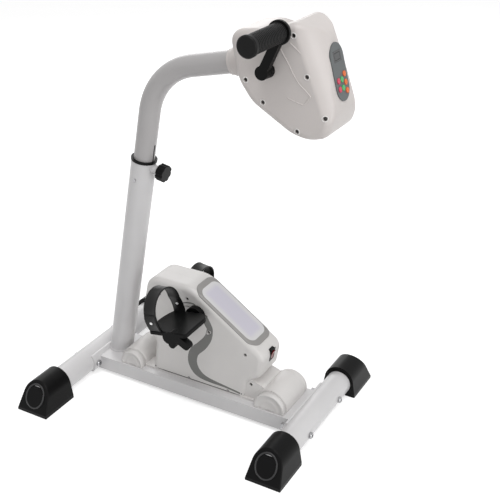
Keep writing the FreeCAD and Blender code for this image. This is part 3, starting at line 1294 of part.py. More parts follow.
def leg_crank(name, side):
    direction = crank_direction(size.leg_crank_angle) * -side
    shape = link(size.leg_crank_radius, size.leg_crank_thick, size.leg_crank_hub,
                 size.leg_crank_end, size.leg_crank_waist, size.leg_shaft_diameter,
                 direction, side)
    pin_length = size.leg_crank_thick + size.pedal_gap + size.pedal_spindle_reach
    pin = disc(size.pedal_spindle_diameter / 2, pin_length, direction * size.leg_crank_radius,
               X_AXIS * side)
    spot = crank_axis + X_AXIS * side * size.leg_crank_in
    keep_shape("%s_leg_crank" % name, joined([shape, pin]), Placement(spot, Rotation()))
    start = spot + direction * size.leg_crank_radius \
        + X_AXIS * side * (size.leg_crank_thick + size.pedal_gap)
    lean = Rotation(X_AXIS, size.left_pedal_lean if side < 0 else size.right_pedal_lean)
    pedal(name, side, Placement(start, lean))
    strap(name, side, Placement(start, lean))


def across(side, low, high, y_low, y_high, z_low, z_high):
    """Box between two distances from the pedal's inner end, on either hand."""
    near = min(side * low, side * high)
    far = max(side * low, side * high)
    return block(Vector(near, y_low, z_low), Vector(far, y_high, z_high))


def pedal(name, side, placement):
    """Pedal from its inner end outwards: crowned tread, axle boss, webs and two end lobes."""
    low = size.pedal_rise
    high = low + size.pedal_sheet
    front = -size.pedal_front
    inner = Vector(0, front, low)
    outer = Vector(side * size.pedal_width, front, low)
    outer_back = Vector(side * size.pedal_width, size.pedal_back, low)
    inner_back = Vector(0, size.pedal_back, low)
    outline = [(inner, size.pedal_front_corner), (outer, size.pedal_corner),
               (outer_back, size.pedal_corner), (inner_back, size.pedal_corner)]
    tread = Part.Face(rounded_wire(outline)).extrude(Z_AXIS * size.pedal_sheet)
    start = inner_back + X_AXIS * side * size.pedal_corner
    end = outer_back - X_AXIS * side * size.pedal_corner
    swell = Part.Face(Part.Wire([
        Part.Arc(start, (start + end) / 2 + Y_AXIS * size.pedal_bulge, end).toShape(),
        Part.LineSegment(end, start).toShape()])).extrude(Z_AXIS * size.pedal_sheet)
    tread = joined([tread, swell])
    rim = [edge for edge in tread.Edges if edge.BoundBox.ZMin > high - size.fit_gap]
    tread = tread.makeFillet(size.pedal_edge, rim)
    boss = disc(size.pedal_boss_diameter / 2, size.pedal_width, Vector(0, 0, 0), X_AXIS * side)
    webs = [across(side, at, at + size.pedal_web, front + size.pedal_corner * 2,
                   size.pedal_back - size.pedal_corner, -size.pedal_web, low + size.pedal_web)
            for at in (size.pedal_corner,
                       size.pedal_width - size.pedal_lobe_thick - size.pedal_web)]
    lobes = []
    lobe_start = size.pedal_width - size.pedal_lobe_thick
    for spread in (-1, 1):
        tip = Vector(0, spread * size.pedal_lobe_spread - size.pedal_lobe_shift,
                     -size.pedal_lobe_drop)
        root = Vector(0, -size.pedal_lobe_shift / 2, low + size.pedal_lobe_diameter / 6)
        lobe = slab(pulley_loop(root, size.pedal_lobe_diameter / 2, tip,
                                size.pedal_lobe_diameter / 2), 0, size.pedal_lobe_thick)
        near = lobe_start if side > 0 else -size.pedal_width
        lobe.translate(X_AXIS * near)
        lobes.append(lobe)
    shape = joined([tread, boss] + webs + lobes)
    shape = shape.cut(disc(size.pedal_spindle_diameter / 2 + size.spindle_gap,
                           size.pedal_spindle_reach + size.spindle_gap, Vector(0, 0, 0),
                           X_AXIS * side))
    slot_half = size.strap_width / 2 + size.strap_slot_gap
    for at in (size.strap_inset, size.pedal_width - size.strap_inset):
        shape = shape.cut(across(
            side, at - size.strap_sheet / 2 - size.strap_slot_gap,
            at + size.strap_sheet / 2 + size.strap_slot_gap, size.strap_shift - slot_half,
            size.strap_shift + slot_half, low + size.pedal_web / 2, high + size.pedal_web))
    keep_shape("%s_pedal" % name, shape, placement)


def strap_edge(side, offset):
    """One face of the band over the foot: two legs, two flanks and a crown set outwards."""
    left = size.strap_inset - offset
    right = size.pedal_width - size.strap_inset + offset
    bottom = size.pedal_rise + size.pedal_web / 2 + size.strap_slot_gap
    knee = size.pedal_rise + size.pedal_sheet
    top = size.pedal_rise + size.strap_height + offset
    shoulder = (knee + top) / 2
    swell = size.strap_bulge
    stations = [(left, bottom), (left, knee), (left + swell / 4, (knee + shoulder) / 2),
                (left + swell, shoulder), ((left + right) / 2 + swell, top),
                (right + swell, shoulder),
                (right + swell / 2 + swell / 4, (knee + shoulder) / 2), (right, knee),
                (right, bottom)]
    spots = [Vector(side * along, 0, height) for along, height in stations]
    edges = [Part.LineSegment(spots[0], spots[1]).toShape(),
             Part.Arc(spots[1], spots[2], spots[3]).toShape(),
             Part.Arc(spots[3], spots[4], spots[5]).toShape(),
             Part.Arc(spots[5], spots[6], spots[7]).toShape(),
             Part.LineSegment(spots[7], spots[8]).toShape()]
    return edges, spots[0], spots[8]


def strap(name, side, placement):
    """Rubber band over the foot, lapped double on its outer leg, with a rivet on each leg."""
    half = size.strap_sheet / 2
    outer, outer_start, outer_end = strap_edge(side, half)
    inner, inner_start, inner_end = strap_edge(side, -half)
    closing = [Part.LineSegment(outer_end, inner_end).toShape(),
               Part.LineSegment(inner_start, outer_start).toShape()]
    wire = Part.Wire(Part.sortEdges(outer + inner + closing)[0])
    band = Part.Face(wire).extrude(Y_AXIS * size.strap_width)
    band.translate(Y_AXIS * (size.strap_shift - size.strap_width / 2))
    lapped, lap_start, lap_end = strap_edge(side, half * 3)
    flank = -2
    lap_ends = [Part.LineSegment(outer[flank].Vertexes[at].Point,
                                 lapped[flank].Vertexes[at].Point).toShape() for at in (0, 1)]
    lap_wire = Part.Wire(Part.sortEdges([outer[flank], lapped[flank]] + lap_ends)[0])
    lap = Part.Face(lap_wire).extrude(Y_AXIS * size.strap_width)
    lap.translate(Y_AXIS * (size.strap_shift - size.strap_width / 2))
    rivets = []
    rivet_height = size.pedal_rise + size.pedal_sheet + size.rivet_level
    for along, outward, lean in ((size.strap_inset, -1, size.strap_bulge / 4),
                                 (size.pedal_width - size.strap_inset, 1, size.strap_bulge / 2)):
        spot = Vector(side * (along + lean), size.strap_shift, rivet_height)
        cover = half if outward < 0 else half * 3
        rivets.append(disc(size.rivet_diameter / 2, cover + size.rivet_head * 2, spot,
                           X_AXIS * side * outward))
    keep_shape("%s_strap" % name, joined([band, lap] + rivets), placement)


beams()
foot_caps()
deck()
beam_bolts()
mast()
mast_bush()
clamp()
bush_screws()
upper_tube()
tube_guide()
head_shells()
head_collar()
console()
arm_bracket()
arm_drive()
for hand, hand_side in SIDES.items():
    arm_crank(hand, hand_side)
    leg_crank(hand, hand_side)
unit_shells(tray())
top_panel()
power_switch()
leg_drive()
doc.recompute()

for item in doc.Objects:
    if any(word in item.State for word in ("Invalid", "Error")):
        raise RuntimeError("%s did not compute: %s" % (item.Label, item.State))
os.makedirs("parts", exist_ok=True)
for piece in pieces:
    if piece.Shape.isNull() or not piece.Shape.isValid():
        raise RuntimeError("%s has no valid shape" % piece.Label)
    piece.Shape.exportStep("parts/%s.step" % piece.Label)
print("%d sub-parts written" % len(pieces))
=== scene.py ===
# %% [markdown]
# This lesson dresses the CAD model of an active passive trainer: a steel stand with a motorised
# pedal unit on its base and a motorised hand crank in a head on a bent mast. The solids come from
# the CAD file and keep their places. What is added here is finish, soft parts and fine relief.
# Everything is in metres, X runs along the feet, the user sits on the -Y side and Z is up.

# %% Load the frame
import json
import math
import bmesh
import bpy
from mathutils import Matrix, Vector
from mathutils.bvhtree import BVHTree


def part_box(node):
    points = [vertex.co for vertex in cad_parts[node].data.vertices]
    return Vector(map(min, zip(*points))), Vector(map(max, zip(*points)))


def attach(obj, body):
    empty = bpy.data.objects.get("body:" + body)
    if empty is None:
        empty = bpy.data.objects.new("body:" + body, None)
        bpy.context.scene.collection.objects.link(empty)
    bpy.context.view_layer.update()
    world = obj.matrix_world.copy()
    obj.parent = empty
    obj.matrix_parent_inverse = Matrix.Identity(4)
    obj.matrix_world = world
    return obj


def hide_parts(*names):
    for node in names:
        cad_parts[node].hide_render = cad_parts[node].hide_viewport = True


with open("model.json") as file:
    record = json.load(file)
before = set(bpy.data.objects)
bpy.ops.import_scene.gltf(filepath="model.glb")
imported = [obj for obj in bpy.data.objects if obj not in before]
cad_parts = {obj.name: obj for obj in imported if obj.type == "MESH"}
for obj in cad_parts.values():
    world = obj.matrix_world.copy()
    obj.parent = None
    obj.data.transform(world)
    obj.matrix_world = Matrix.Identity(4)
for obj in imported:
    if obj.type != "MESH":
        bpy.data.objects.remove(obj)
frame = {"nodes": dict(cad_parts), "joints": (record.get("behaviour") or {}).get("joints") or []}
nodes = frame["nodes"]
joints = {joint["name"]: joint for joint in frame["joints"]}
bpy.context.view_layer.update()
MM = 0.001

# %% [markdown]
# The camera stands where the photographer stood: on the user's left and a little towards the
# user, 27 degrees above the machine and about 1.9 m away. It is placed on a sphere round the
# floor's origin and then moved sideways and up, so the object sits in the picture as in the photo.

# %% Camera
PICTURE = 500
FOCAL_IN_PIXELS = 933
SENSOR_WIDTH = 36
AZIMUTH = math.radians(-60.55)
ELEVATION = math.radians(26.81)
DISTANCE = 1.916
MOVE_RIGHT = 0.0942
MOVE_UP = 0.2829

look_back = Vector((math.sin(AZIMUTH) * math.cos(ELEVATION),
                    -math.cos(AZIMUTH) * math.cos(ELEVATION), math.sin(ELEVATION)))
look_right = Vector((math.cos(AZIMUTH), math.sin(AZIMUTH), 0))
look_up = look_back.cross(look_right)
camera_data = bpy.data.cameras.new("photo_camera")
camera_data.sensor_width = SENSOR_WIDTH
camera_data.lens = FOCAL_IN_PIXELS / PICTURE * SENSOR_WIDTH
camera = bpy.data.objects.new("photo_camera", camera_data)
bpy.context.scene.collection.objects.link(camera)
camera.matrix_world = Matrix((look_right, look_up, look_back)).transposed().to_4x4()
camera.location = look_back * DISTANCE + look_right * MOVE_RIGHT + look_up * MOVE_UP
bpy.context.scene.camera = camera
print("lens", round(camera_data.lens, 1), "mm")

# %% [markdown]
# Finishes are formulas. A small class wraps a socket, so that `grain * 0.5 + wear` adds the Math
# nodes by itself. Python still works out what is only a number. Colours go through Mix nodes.

# %% Sockets as numbers
class Wire:
    """A number socket that can stand in a formula: each operator adds one Math node."""

    def __init__(self, finish, socket):
        self.finish = finish
        self.socket = socket

    def math(self, operation, *values):
        return self.finish.node("ShaderNodeMath", {"operation": operation},
                                dict(enumerate(values)))

    def __add__(self, other):
        return self.math("ADD", self, other)

    def __radd__(self, other):
        return self.math("ADD", other, self)

    def __sub__(self, other):
        return self.math("SUBTRACT", self, other)

    def __rsub__(self, other):
        return self.math("SUBTRACT", other, self)

    def __mul__(self, other):
        return self.math("MULTIPLY", self, other)

    def __rmul__(self, other):
        return self.math("MULTIPLY", other, self)

    def __abs__(self):
        return self.math("ABSOLUTE", self)

    def ramp(self, low, high):
        """0 below low, 1 above high, and a soft step between."""
        return self.finish.node("ShaderNodeMapRange", {"interpolation_type": "SMOOTHSTEP"},
                                {"Value": self, "From Min": low, "From Max": high})

    def larger(self, other):
        return self.math("MAXIMUM", self, other)


class Finish:
    """A material: its shader's constants, and one method that adds any other node."""

    def __init__(self, name, constants):
        self.material = bpy.data.materials.new(name)
        self.material.use_nodes = True
        self.tree = self.material.node_tree
        self.shader = self.tree.nodes["Principled BSDF"]
        for socket, value in constants.items():
            self.shader.inputs[socket].default_value = value
        self.place = self.node("ShaderNodeTexCoord", {}, {}, "Object")

    def node(self, kind, settings, sockets, output=0):
        made = self.tree.nodes.new(kind)
        for name, value in settings.items():
            setattr(made, name, value)
        for name, value in sockets.items():
            self.feed(value, made.inputs[name])
        return Wire(self, made.outputs[output])

    def feed(self, value, socket):
        if isinstance(value, Wire):
            self.tree.links.new(value.socket, socket)
        elif isinstance(value, tuple) and len(value) == 3 and socket.type == "RGBA":
            socket.default_value = (*value, 1)
        else:
            socket.default_value = value

    def give(self, **sockets):
        """Feed the shader: base_color=..., roughness=... and so on."""
        for name, value in sockets.items():
            self.feed(value, self.shader.inputs[name.replace("_", " ").title()])
        return self

    def mix(self, share, first, second):
        return self.node("ShaderNodeMix", {"data_type": "RGBA"},
                         {0: share, 6: first, 7: second}, 2)

    def noise(self, size, detail=2, roughness=0.5, place=None):
        """Noise whose blobs are about `size` metres across."""
        return self.node("ShaderNodeTexNoise", {}, {
            "Vector": place or self.place, "Scale": 1 / size, "Detail": detail,
            "Roughness": roughness})

    def stretched(self, along, across, depth):
        """The place with each axis divided by a length, for brushed or drawn marks."""
        return self.node("ShaderNodeVectorMath", {"operation": "MULTIPLY"},
                         {0: self.place, 1: (1 / along, 1 / across, 1 / depth)})

    def axes(self):
        """The three coordinates of a point, as numbers."""
        parts = self.node("ShaderNodeSeparateXYZ", {}, {"Vector": self.place})
        outputs = parts.socket.node.outputs
        return [Wire(self, outputs[name]) for name in ("X", "Y", "Z")]

    def measure(self, direction, origin):
        """How far a point lies from an origin along a direction."""
        aim = Vector(direction)
        dot = self.node("ShaderNodeVectorMath", {"operation": "DOT_PRODUCT"},
                        {0: self.place, 1: tuple(aim)}, "Value")
        return dot - aim.dot(Vector(origin))

    def round_edges(self, radius):
        """A normal that rolls over the solid's sharp edges, and how near an edge a point is."""
        rolled = self.node("ShaderNodeBevel", {"samples": 4}, {"Radius": radius})
        flat = self.node("ShaderNodeNewGeometry", {}, {}, "Normal")
        same = self.node("ShaderNodeVectorMath", {"operation": "DOT_PRODUCT"},
                         {0: rolled, 1: flat}, "Value")
        return rolled, (1 - same).ramp(0.02, 0.3)

    def bump(self, height, strength, distance, normal=None):
        sockets = {"Height": height, "Strength": strength, "Distance": distance}
        if normal:
            sockets["Normal"] = normal
        return self.node("ShaderNodeBump", {}, sockets)


print("shader helpers ready")

# %% [markdown]
# A finish is put on a CAD node by filling its material slot. The solid's own mesh stays as it is.

# %% Dressing
dressed = set()


def dress(finish, *names):
    """Give CAD nodes one finish."""
    for name in names:
        slots = nodes[name].data.materials
        slots.clear()
        slots.append(finish.material)
        dressed.add(name)


# %% [markdown]
# The stand is powder-coated steel. Powder flows out into a faint orange peel with blobs of 2 to
# 3 mm, and the coat is thinner on edges. A clear coat layer gives the soft second highlight.

# %% Powder-coated steel
def powder_coat(name, colour, edge_colour):
    finish = Finish(name, {"Metallic": 0.0, "Coat Roughness": 0.22, "IOR": 1.5})
    rolled, edge = finish.round_edges(0.6 * MM)
    cloud = finish.noise(90 * MM, 3)
    peel = finish.noise(2.4 * MM, 2, 0.35)
    shade = finish.mix(cloud.ramp(0.3, 0.75), colour, tuple(part * 0.955 for part in colour))
    return finish.give(base_color=finish.mix(edge * 0.55, shade, edge_colour),
                       roughness=0.36 + 0.1 * cloud + 0.05 * edge,
                       coat_weight=0.35 - 0.2 * edge,
                       normal=finish.bump(peel, 0.16, 0.25 * MM, rolled))


stand_paint = powder_coat("silver_white_powder", (0.71, 0.70, 0.705), (0.80, 0.80, 0.80))
# The upper tube takes a darker copy of the same powder coat: painted shade.
upper_tube_painted_shade = powder_coat("silver_powder_painted_shade", (0.47, 0.455, 0.455), (0.62, 0.62, 0.62))
dress(stand_paint, "rear_beam", "front_beam", "deck_channel", "mast_outer_tube")
dress(upper_tube_painted_shade, "upper_tube")

# %% [markdown]
# The housings are injection-moulded ABS in a warm white. The mould is spark-eroded, so the skin
# has a fine even grain, and a slow drift of shade keeps the large faces from looking flat.

# %% Moulded housings
def moulded(name, colour, roughness, grain=0.55 * MM, depth=0.12, wear=0.12, drift=0.05,
            shine=0.5):
    finish = Finish(name, {"IOR": 1.52, "Specular IOR Level": shine})
    rolled, edge = finish.round_edges(0.5 * MM)
    cloud = finish.noise(70 * MM, 3)
    skin = finish.noise(grain, 3, 0.6)
    deep = tuple(part * (1 - drift) for part in colour)
    pale = tuple(part + (1 - part) * wear for part in colour)
    shade = finish.mix(cloud.ramp(0.3, 0.7), colour, deep)
    return finish.give(base_color=finish.mix(edge * 0.6, shade, pale),
                       roughness=roughness + 0.1 * (skin - 0.5) + 0.06 * cloud,
                       normal=finish.bump(skin, depth, 0.08 * MM, rolled))


housing = moulded("warm_white_abs", (0.75, 0.73, 0.715), 0.34)
# The head's shells and collar take a darker copy of the same white ABS: painted shade.
head_abs_painted_shade = moulded("head_white_abs_painted_shade", (0.68, 0.635, 0.615), 0.34)
dress(housing, "unit_left_shell", "unit_right_shell", "base_tray", "tube_guide")
dress(head_abs_painted_shade, "head_left_shell", "head_right_shell", "head_collar")

# %% [markdown]
# Black parts are three different plastics. Feet and knob are a satin polyamide, the cranks and
# pedals are a coarser glass-filled one, and the grips are a soft dull rubber.

# %% Black plastics and rubber
satin_black = moulded("satin_black_nylon", (0.004, 0.004, 0.0042), 0.3, 0.7 * MM, 0.2,
                      0.02, 0.2, 0.1)
filled_black = moulded("glass_filled_black", (0.004, 0.004, 0.0041), 0.36, 0.9 * MM, 0.35,
                       0.02, 0.2, 0.09)
grip_rubber = moulded("grip_rubber", (0.004, 0.004, 0.0042), 0.36, 0.5 * MM, 0.3,
                      0.02, 0.25, 0.16)
dress(satin_black, "front_left_foot_cap", "front_right_foot_cap", "rear_left_foot_cap",
      "rear_right_foot_cap", "clamp_knob", "mast_bush", "switch_bezel", "power_inlet")
dress(filled_black, "left_arm_crank", "right_arm_crank", "left_leg_crank", "right_leg_crank",
      "left_pedal", "right_pedal", "motor_pulley", "crank_pulley")
dress(grip_rubber, "left_grip", "right_grip")

# %% [markdown]
# Bare metal comes in two kinds: bright turned or plated pieces, and dull zinc-plated sheet.
# Turned pieces are full metals with fine marks drawn out round the X axis, where they spin.

# %% Metals
def metal(name, colour, roughness, along, across, depth):
    finish = Finish(name, {"Metallic": 1.0})
    rolled, edge = finish.round_edges(0.3 * MM)
    marks = finish.noise(1, 3, 0.6, finish.stretched(along, across, depth))
    blush = finish.noise(14 * MM, 2)
    dull = tuple(part * 0.72 for part in colour)
    return finish.give(base_color=finish.mix(blush.ramp(0.35, 0.8), colour, dull),
                       roughness=roughness + 0.16 * marks - 0.06 * edge,
                       normal=finish.bump(marks, 0.1, 0.05 * MM, rolled))


chrome = metal("bright_plate", (0.42, 0.42, 0.43), 0.16, 2 * MM, 2 * MM, 0.4 * MM)
turned_steel = metal("turned_steel", (0.58, 0.58, 0.59), 0.22, 0.15 * MM, 6 * MM, 6 * MM)
zinc_sheet = metal("zinc_sheet", (0.50, 0.51, 0.52), 0.34, 8 * MM, 3 * MM, 8 * MM)
bronze = metal("wheel_bronze", (0.62, 0.42, 0.20), 0.25, 0.3 * MM, 4 * MM, 4 * MM)
# The screws get a near-black metal: painted shade for the dark bottom of the wells they sit in.
screws_painted_shade = metal("screw_metal_painted_shade", (0.06, 0.058, 0.056), 0.3, 2 * MM, 2 * MM, 0.4 * MM)
dress(chrome, "beam_bolts", "bush_screws")
dress(bronze, "worm_wheel")
dress(screws_painted_shade, "head_screws", "unit_screws")
dress(turned_steel, "arm_shaft", "leg_shaft", "worm", "arm_bearings", "leg_bearings")
dress(zinc_sheet, "arm_bracket", "drive_frame", "power_supply")

# %% [markdown]
# Inside are the pieces that only show when the shells come off: the motors in dark paint, a
# ribbed belt and the circuit board with its solder mask and tracks.

# %% Inner pieces
motor_paint = moulded("motor_paint", (0.03, 0.031, 0.034), 0.4, 1.2 * MM, 0.2, 0.1, 0.2)
belt_rubber = moulded("belt_rubber", (0.02, 0.02, 0.021), 0.6, 0.4 * MM, 0.5, 0.03, 0.2)
dress(motor_paint, "arm_motor", "leg_motor")
dress(belt_rubber, "drive_belt")

board_finish = Finish("circuit_board", {"IOR": 1.5})
lane = board_finish.node("ShaderNodeTexBrick", {"offset": 0.5}, {
    "Vector": board_finish.place, "Scale": 1 / (6 * MM), "Mortar Size": 0.035}, "Fac")
board_finish.give(base_color=board_finish.mix(lane, (0.012, 0.10, 0.045), (0.03, 0.2, 0.09)),
                  roughness=0.3 + 0.12 * lane)
dress(board_finish, "control_board")

# %% [markdown]
# The panel on the sloping top is one moulding in two colours. Its grey border is wide at both
# ends and thin along the sides, so the split is worked out from the distance along the panel and
# across it. The plate inside fades from white at its rim to a pale lilac.

# %% Top panel
PANEL_END_BAND = 13 * MM
PANEL_SIDE_BAND = 5 * MM
PANEL_CORNER = 17 * MM
panel_low, panel_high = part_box("top_panel")
panel_middle = (panel_low + panel_high) / 2
panel_slope = Vector((0, panel_high.y - panel_low.y, panel_high.z - panel_low.z)).normalized()
panel_half = Vector((0, panel_high.y - panel_low.y, panel_high.z - panel_low.z)).length / 2
panel_half_width = (panel_high.x - panel_low.x) / 2


def rounded_field(across, along, half_across, half_along, radius):
    """Distance outside a rounded oblong, below zero inside it."""
    over = (abs(across) - (half_across - radius)).larger(0)
    past = (abs(along) - (half_along - radius)).larger(0)
    square = over * over + past * past
    return square.math("SQRT", square) - radius


panel_finish = Finish("panel_two_tone", {"IOR": 1.5, "Coat Weight": 0.25, "Coat Roughness": 0.1})
panel_across, _, _ = panel_finish.axes()
panel_along = panel_finish.measure(panel_slope, panel_middle)
outside = rounded_field(panel_across, panel_along, panel_half_width - PANEL_SIDE_BAND,
                        panel_half - PANEL_END_BAND, PANEL_CORNER)
plate_grain = panel_finish.noise(0.5 * MM, 2)
plate = panel_finish.mix(outside.ramp(-16 * MM, -3 * MM), (0.63, 0.61, 0.69), (0.71, 0.70, 0.71))
panel_rolled, _ = panel_finish.round_edges(0.3 * MM)
panel_finish.give(
    base_color=panel_finish.mix(outside.ramp(-0.3 * MM, 0.3 * MM), plate, (0.30, 0.29, 0.28)),
    roughness=0.3 + 0.1 * plate_grain,
    normal=panel_finish.bump(plate_grain, 0.08, 0.06 * MM, panel_rolled))
dress(panel_finish, "top_panel")
print("panel", round(panel_half * 2 / MM), "mm long")

# %% [markdown]
# The console is a blue-grey overlay. The display is grey acrylic with a dark frame line and
# the keys are domed silicone in three colours. Silicone is dull and lets a little light in.

# %% Console
FRAME_LINE_INSET = 3.5 * MM
FRAME_LINE_CORNER = 1.5 * MM
console_finish = moulded("console_overlay", (0.106, 0.118, 0.121), 0.38, 0.4 * MM, 0.08, 0.05, 0.1)
dress(console_finish, "console_plate")

window_low, window_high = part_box("display_window")
window_middle = (window_low + window_high) / 2
window_half = (window_high.z - window_low.z) / 2
window_finish = Finish("smoked_window", {"IOR": 1.49, "Coat Weight": 0.1, "Coat Roughness": 0.04,
                                         "Specular IOR Level": 0.25})
window_across, _, window_up = window_finish.axes()
frame_line = rounded_field(window_across, window_up - window_middle.z,
                           window_high.x - FRAME_LINE_INSET, window_half - FRAME_LINE_INSET,
                           FRAME_LINE_CORNER)
line_mask = 1 - abs(frame_line).ramp(0.5 * MM, 0.9 * MM)
dust = window_finish.noise(9 * MM, 3)
window_finish.give(
    base_color=window_finish.mix(line_mask, (0.085, 0.088, 0.09), (0.012, 0.012, 0.013)),
    roughness=0.12 + 0.08 * dust)
dress(window_finish, "display_window")


def silicone(name, colour):
    finish = moulded(name, colour, 0.42, 0.4 * MM, 0.1, 0.25, 0.12)
    finish.shader.inputs["Subsurface Weight"].default_value = 0.15
    finish.shader.inputs["Subsurface Radius"].default_value = (1, 0.6, 0.5)
    finish.shader.inputs["Subsurface Scale"].default_value = 1.5 * MM
    return finish


dress(silicone("rose_key", (0.70, 0.06, 0.12)), "left_button_1", "left_button_2")
dress(silicone("green_key", (0.08, 0.50, 0.16)), "middle_button_1", "middle_button_2")
dress(silicone("orange_key", (0.85, 0.17, 0.03)), "right_button_1", "right_button_2",
      "right_button_3")
rocker_finish = moulded("rocker_red", (0.23, 0.008, 0.008), 0.22, 0.6 * MM, 0.05, 0.15, 0.2)
dress(rocker_finish, "switch_rocker")

# %% [markdown]
# Each foot strap is a moulded band of soft PVC, lapped double on its outer leg. The CAD holds only
# plain strips, so the band is modelled again here: a section with rolled rims and a shallow groove
# is carried along the same line, through the same stations as in the CAD source.

# %% Path of a strap
STRAP_WIDTH = 27 * MM
STRAP_THICK = 2.6 * MM
STRAP_SHIFT = 26 * MM
STRAP_STATIONS = [(3.5, 6.3), (3.5, 12), (5.75, 29.75), (12.5, 47.5), (52, 83), (91.5, 47.5),
                  (89.25, 29.75), (82.5, 12), (82.5, 6.3)]
PEDAL_GAP = 13.5 * MM
PEDAL_LEAN = {"left": math.radians(-10), "right": math.radians(7)}
STRAP_STEPS = 14


def arc_points(first, middle, last, steps):
    """Points on the circle through three points, from the first to the last."""
    chord_a = middle - first
    chord_b = last - first
    turn = 2 * (chord_a.x * chord_b.y - chord_a.y * chord_b.x)
    size_a = chord_a.length_squared
    size_b = chord_b.length_squared
    centre = first + Vector((chord_b.y * size_a - chord_a.y * size_b,
                             chord_a.x * size_b - chord_b.x * size_a)) / turn
    start = math.atan2(first.y - centre.y, first.x - centre.x)
    via = math.atan2(middle.y - centre.y, middle.x - centre.x)
    end = math.atan2(last.y - centre.y, last.x - centre.x)
    span = (end - start) % (2 * math.pi)
    if (via - start) % (2 * math.pi) > span:
        span -= 2 * math.pi
    radius = (first - centre).length
    return [centre + Vector((math.cos(start + span * step / steps),
                             math.sin(start + span * step / steps))) * radius
            for step in range(steps + 1)]


def strap_path():
    """The band's middle line in the pedal's own plane: two short legs joined by three arcs."""
    spots = [Vector(spot) * MM for spot in STRAP_STATIONS]
    inner = arc_points(spots[1], spots[2], spots[3], STRAP_STEPS)
    crown = arc_points(spots[3], spots[4], spots[5], STRAP_STEPS * 3)
    outer = arc_points(spots[5], spots[6], spots[7], STRAP_STEPS)
    return [spots[0]] + inner + crown[1:] + outer[1:] + [spots[8]]


def band_section(width=STRAP_WIDTH):
    """Outline of the band: rolled rims on its outer face and a shallow groove between them."""
    half = width / 2
    thick = STRAP_THICK / 2
    rim = 3 * MM
    outer = [(-half, 0), (-half + 0.4 * MM, thick * 0.8), (-half + rim * 0.4, thick),
             (-half + rim, thick * 0.9), (-half + rim * 1.3, thick * 0.55)]
    outer += [(-across, out) for across, out in reversed(outer)]
    inner = [(half - 0.4 * MM, -thick * 0.8), (half - rim * 0.4, -thick),
             (-half + rim * 0.4, -thick), (-half + 0.4 * MM, -thick * 0.8)]
    return outer + inner


def mesh_object(name, mesh):
    piece = bpy.data.objects.new(name, mesh)
    bpy.context.scene.collection.objects.link(piece)
    return piece


def finished_mesh(name, shape):
    """A mesh under work becomes a smooth piece of the scene."""
    bmesh.ops.recalc_face_normals(shape, faces=shape.faces)
    for face in shape.faces:
        face.smooth = True
    mesh = bpy.data.meshes.new(name)
    shape.to_mesh(mesh)
    shape.free()
    return mesh_object(name, mesh)


def lofted(name, rings):
    """A skin over rings of equally many points, closed at both ends."""
    shape = bmesh.new()
    rows = [[shape.verts.new(point) for point in ring] for ring in rings]
    for row, following in zip(rows, rows[1:]):
        for at in range(len(row)):
            after = (at + 1) % len(row)
            shape.faces.new((row[at], row[after], following[after], following[at]))
    shape.faces.new(rows[0])
    shape.faces.new(list(reversed(rows[-1])))
    return finished_mesh(name, shape)


def pedal_frame(name, side):
    """Place of a pedal's inner end: its axis comes from the joint, its lean from the photo."""
    pin = Vector(joints["%s_pedal_turn" % name]["pos_m"])
    return Matrix.Translation(pin + Vector((side * PEDAL_GAP, 0, 0))) \
        @ Matrix.Rotation(PEDAL_LEAN[name], 4, "X")


def outward(path, at):
    """Square to a path, away from the foot."""
    ahead = (path[min(at + 1, len(path) - 1)] - path[max(at - 1, 0)]).normalized()
    return Vector((-ahead.y, ahead.x))


def along_path(path, section, side, shift):
    """Rings of a section carried along a path that lies in the pedal's XZ plane."""
    rings = []
    for at, point in enumerate(path):
        out = outward(path, at)
        rings.append([Vector((side * (point.x + out.x * proud), shift + across,
                              point.y + out.y * proud)) for across, proud in section])
    return rings


strap_finish = moulded("strap_pvc", (0.005, 0.005, 0.0052), 0.36, 0.8 * MM, 0.15, 0.02, 0.2, 0.25)
line = strap_path()
print("strap path", round(sum((b - a).length for a, b in zip(line, line[1:])) / MM), "mm")

# %% [markdown]
# The lap is the band's free end, turned back down the outer leg and held by the same rivet. It
# lies one thickness further out and thins to a tongue at its upper end. The rivets are tubes with
# a rolled head on each face, so each is turned from one profile.

# %% Laps and rivets
LAP_TONGUE = 4
RIVET_RADIUS = 3 * MM
RIVET_HEIGHT = 30 * MM
RIVET_SEATS = {"inner": STRAP_THICK * 0.3, "outer": STRAP_THICK * 1.3}


def lap_rings(path, side):
    """Rings of the lap: from the tongue at the shoulder down to the tread."""
    first = len(path) - 2 - STRAP_STEPS
    rings = []
    for step, at in enumerate(range(first, len(path) - 1)):
        full = min(1, (step + 1) / LAP_TONGUE)
        out = outward(path, at)
        lift = STRAP_THICK * (0.5 + 0.5 * full)
        ring = []
        for across, proud in band_section(STRAP_WIDTH - 1 * MM * (2 - full)):
            height = lift + proud * full
            ring.append(Vector((side * (path[at].x + out.x * height), STRAP_SHIFT + across,
                                path[at].y + out.y * height)))
        rings.append(ring)
    return rings


def spun(name, profile, place, segments=24):
    """A piece turned about local Z from (radius, height) points, put at a place."""
    rings = [[place @ Vector((radius * math.cos(2 * math.pi * step / segments),
                              radius * math.sin(2 * math.pi * step / segments), height))
              for step in range(segments)] for radius, height in profile]
    return lofted(name, rings)


def rivet_profile(inside, outside):
    """A rivet through the band: a domed head with a hollow outside and a rolled rim inside."""
    return [(RIVET_RADIUS * 0.3, inside - 0.7 * MM), (RIVET_RADIUS * 0.8, inside - 0.8 * MM),
            (RIVET_RADIUS, inside - 0.3 * MM), (RIVET_RADIUS, inside),
            (RIVET_RADIUS * 0.5, inside), (RIVET_RADIUS * 0.5, outside), (RIVET_RADIUS, outside),
            (RIVET_RADIUS, outside + 0.4 * MM), (RIVET_RADIUS * 0.85, outside + 0.9 * MM),
            (RIVET_RADIUS * 0.5, outside + 1.15 * MM), (RIVET_RADIUS * 0.42, outside + 0.8 * MM),
            (RIVET_RADIUS * 0.1, outside + 0.7 * MM)]


def finish_piece(piece, finish, body):
    """Give a new piece its material and its body."""
    piece.data.materials.append(finish.material)
    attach(piece, body)


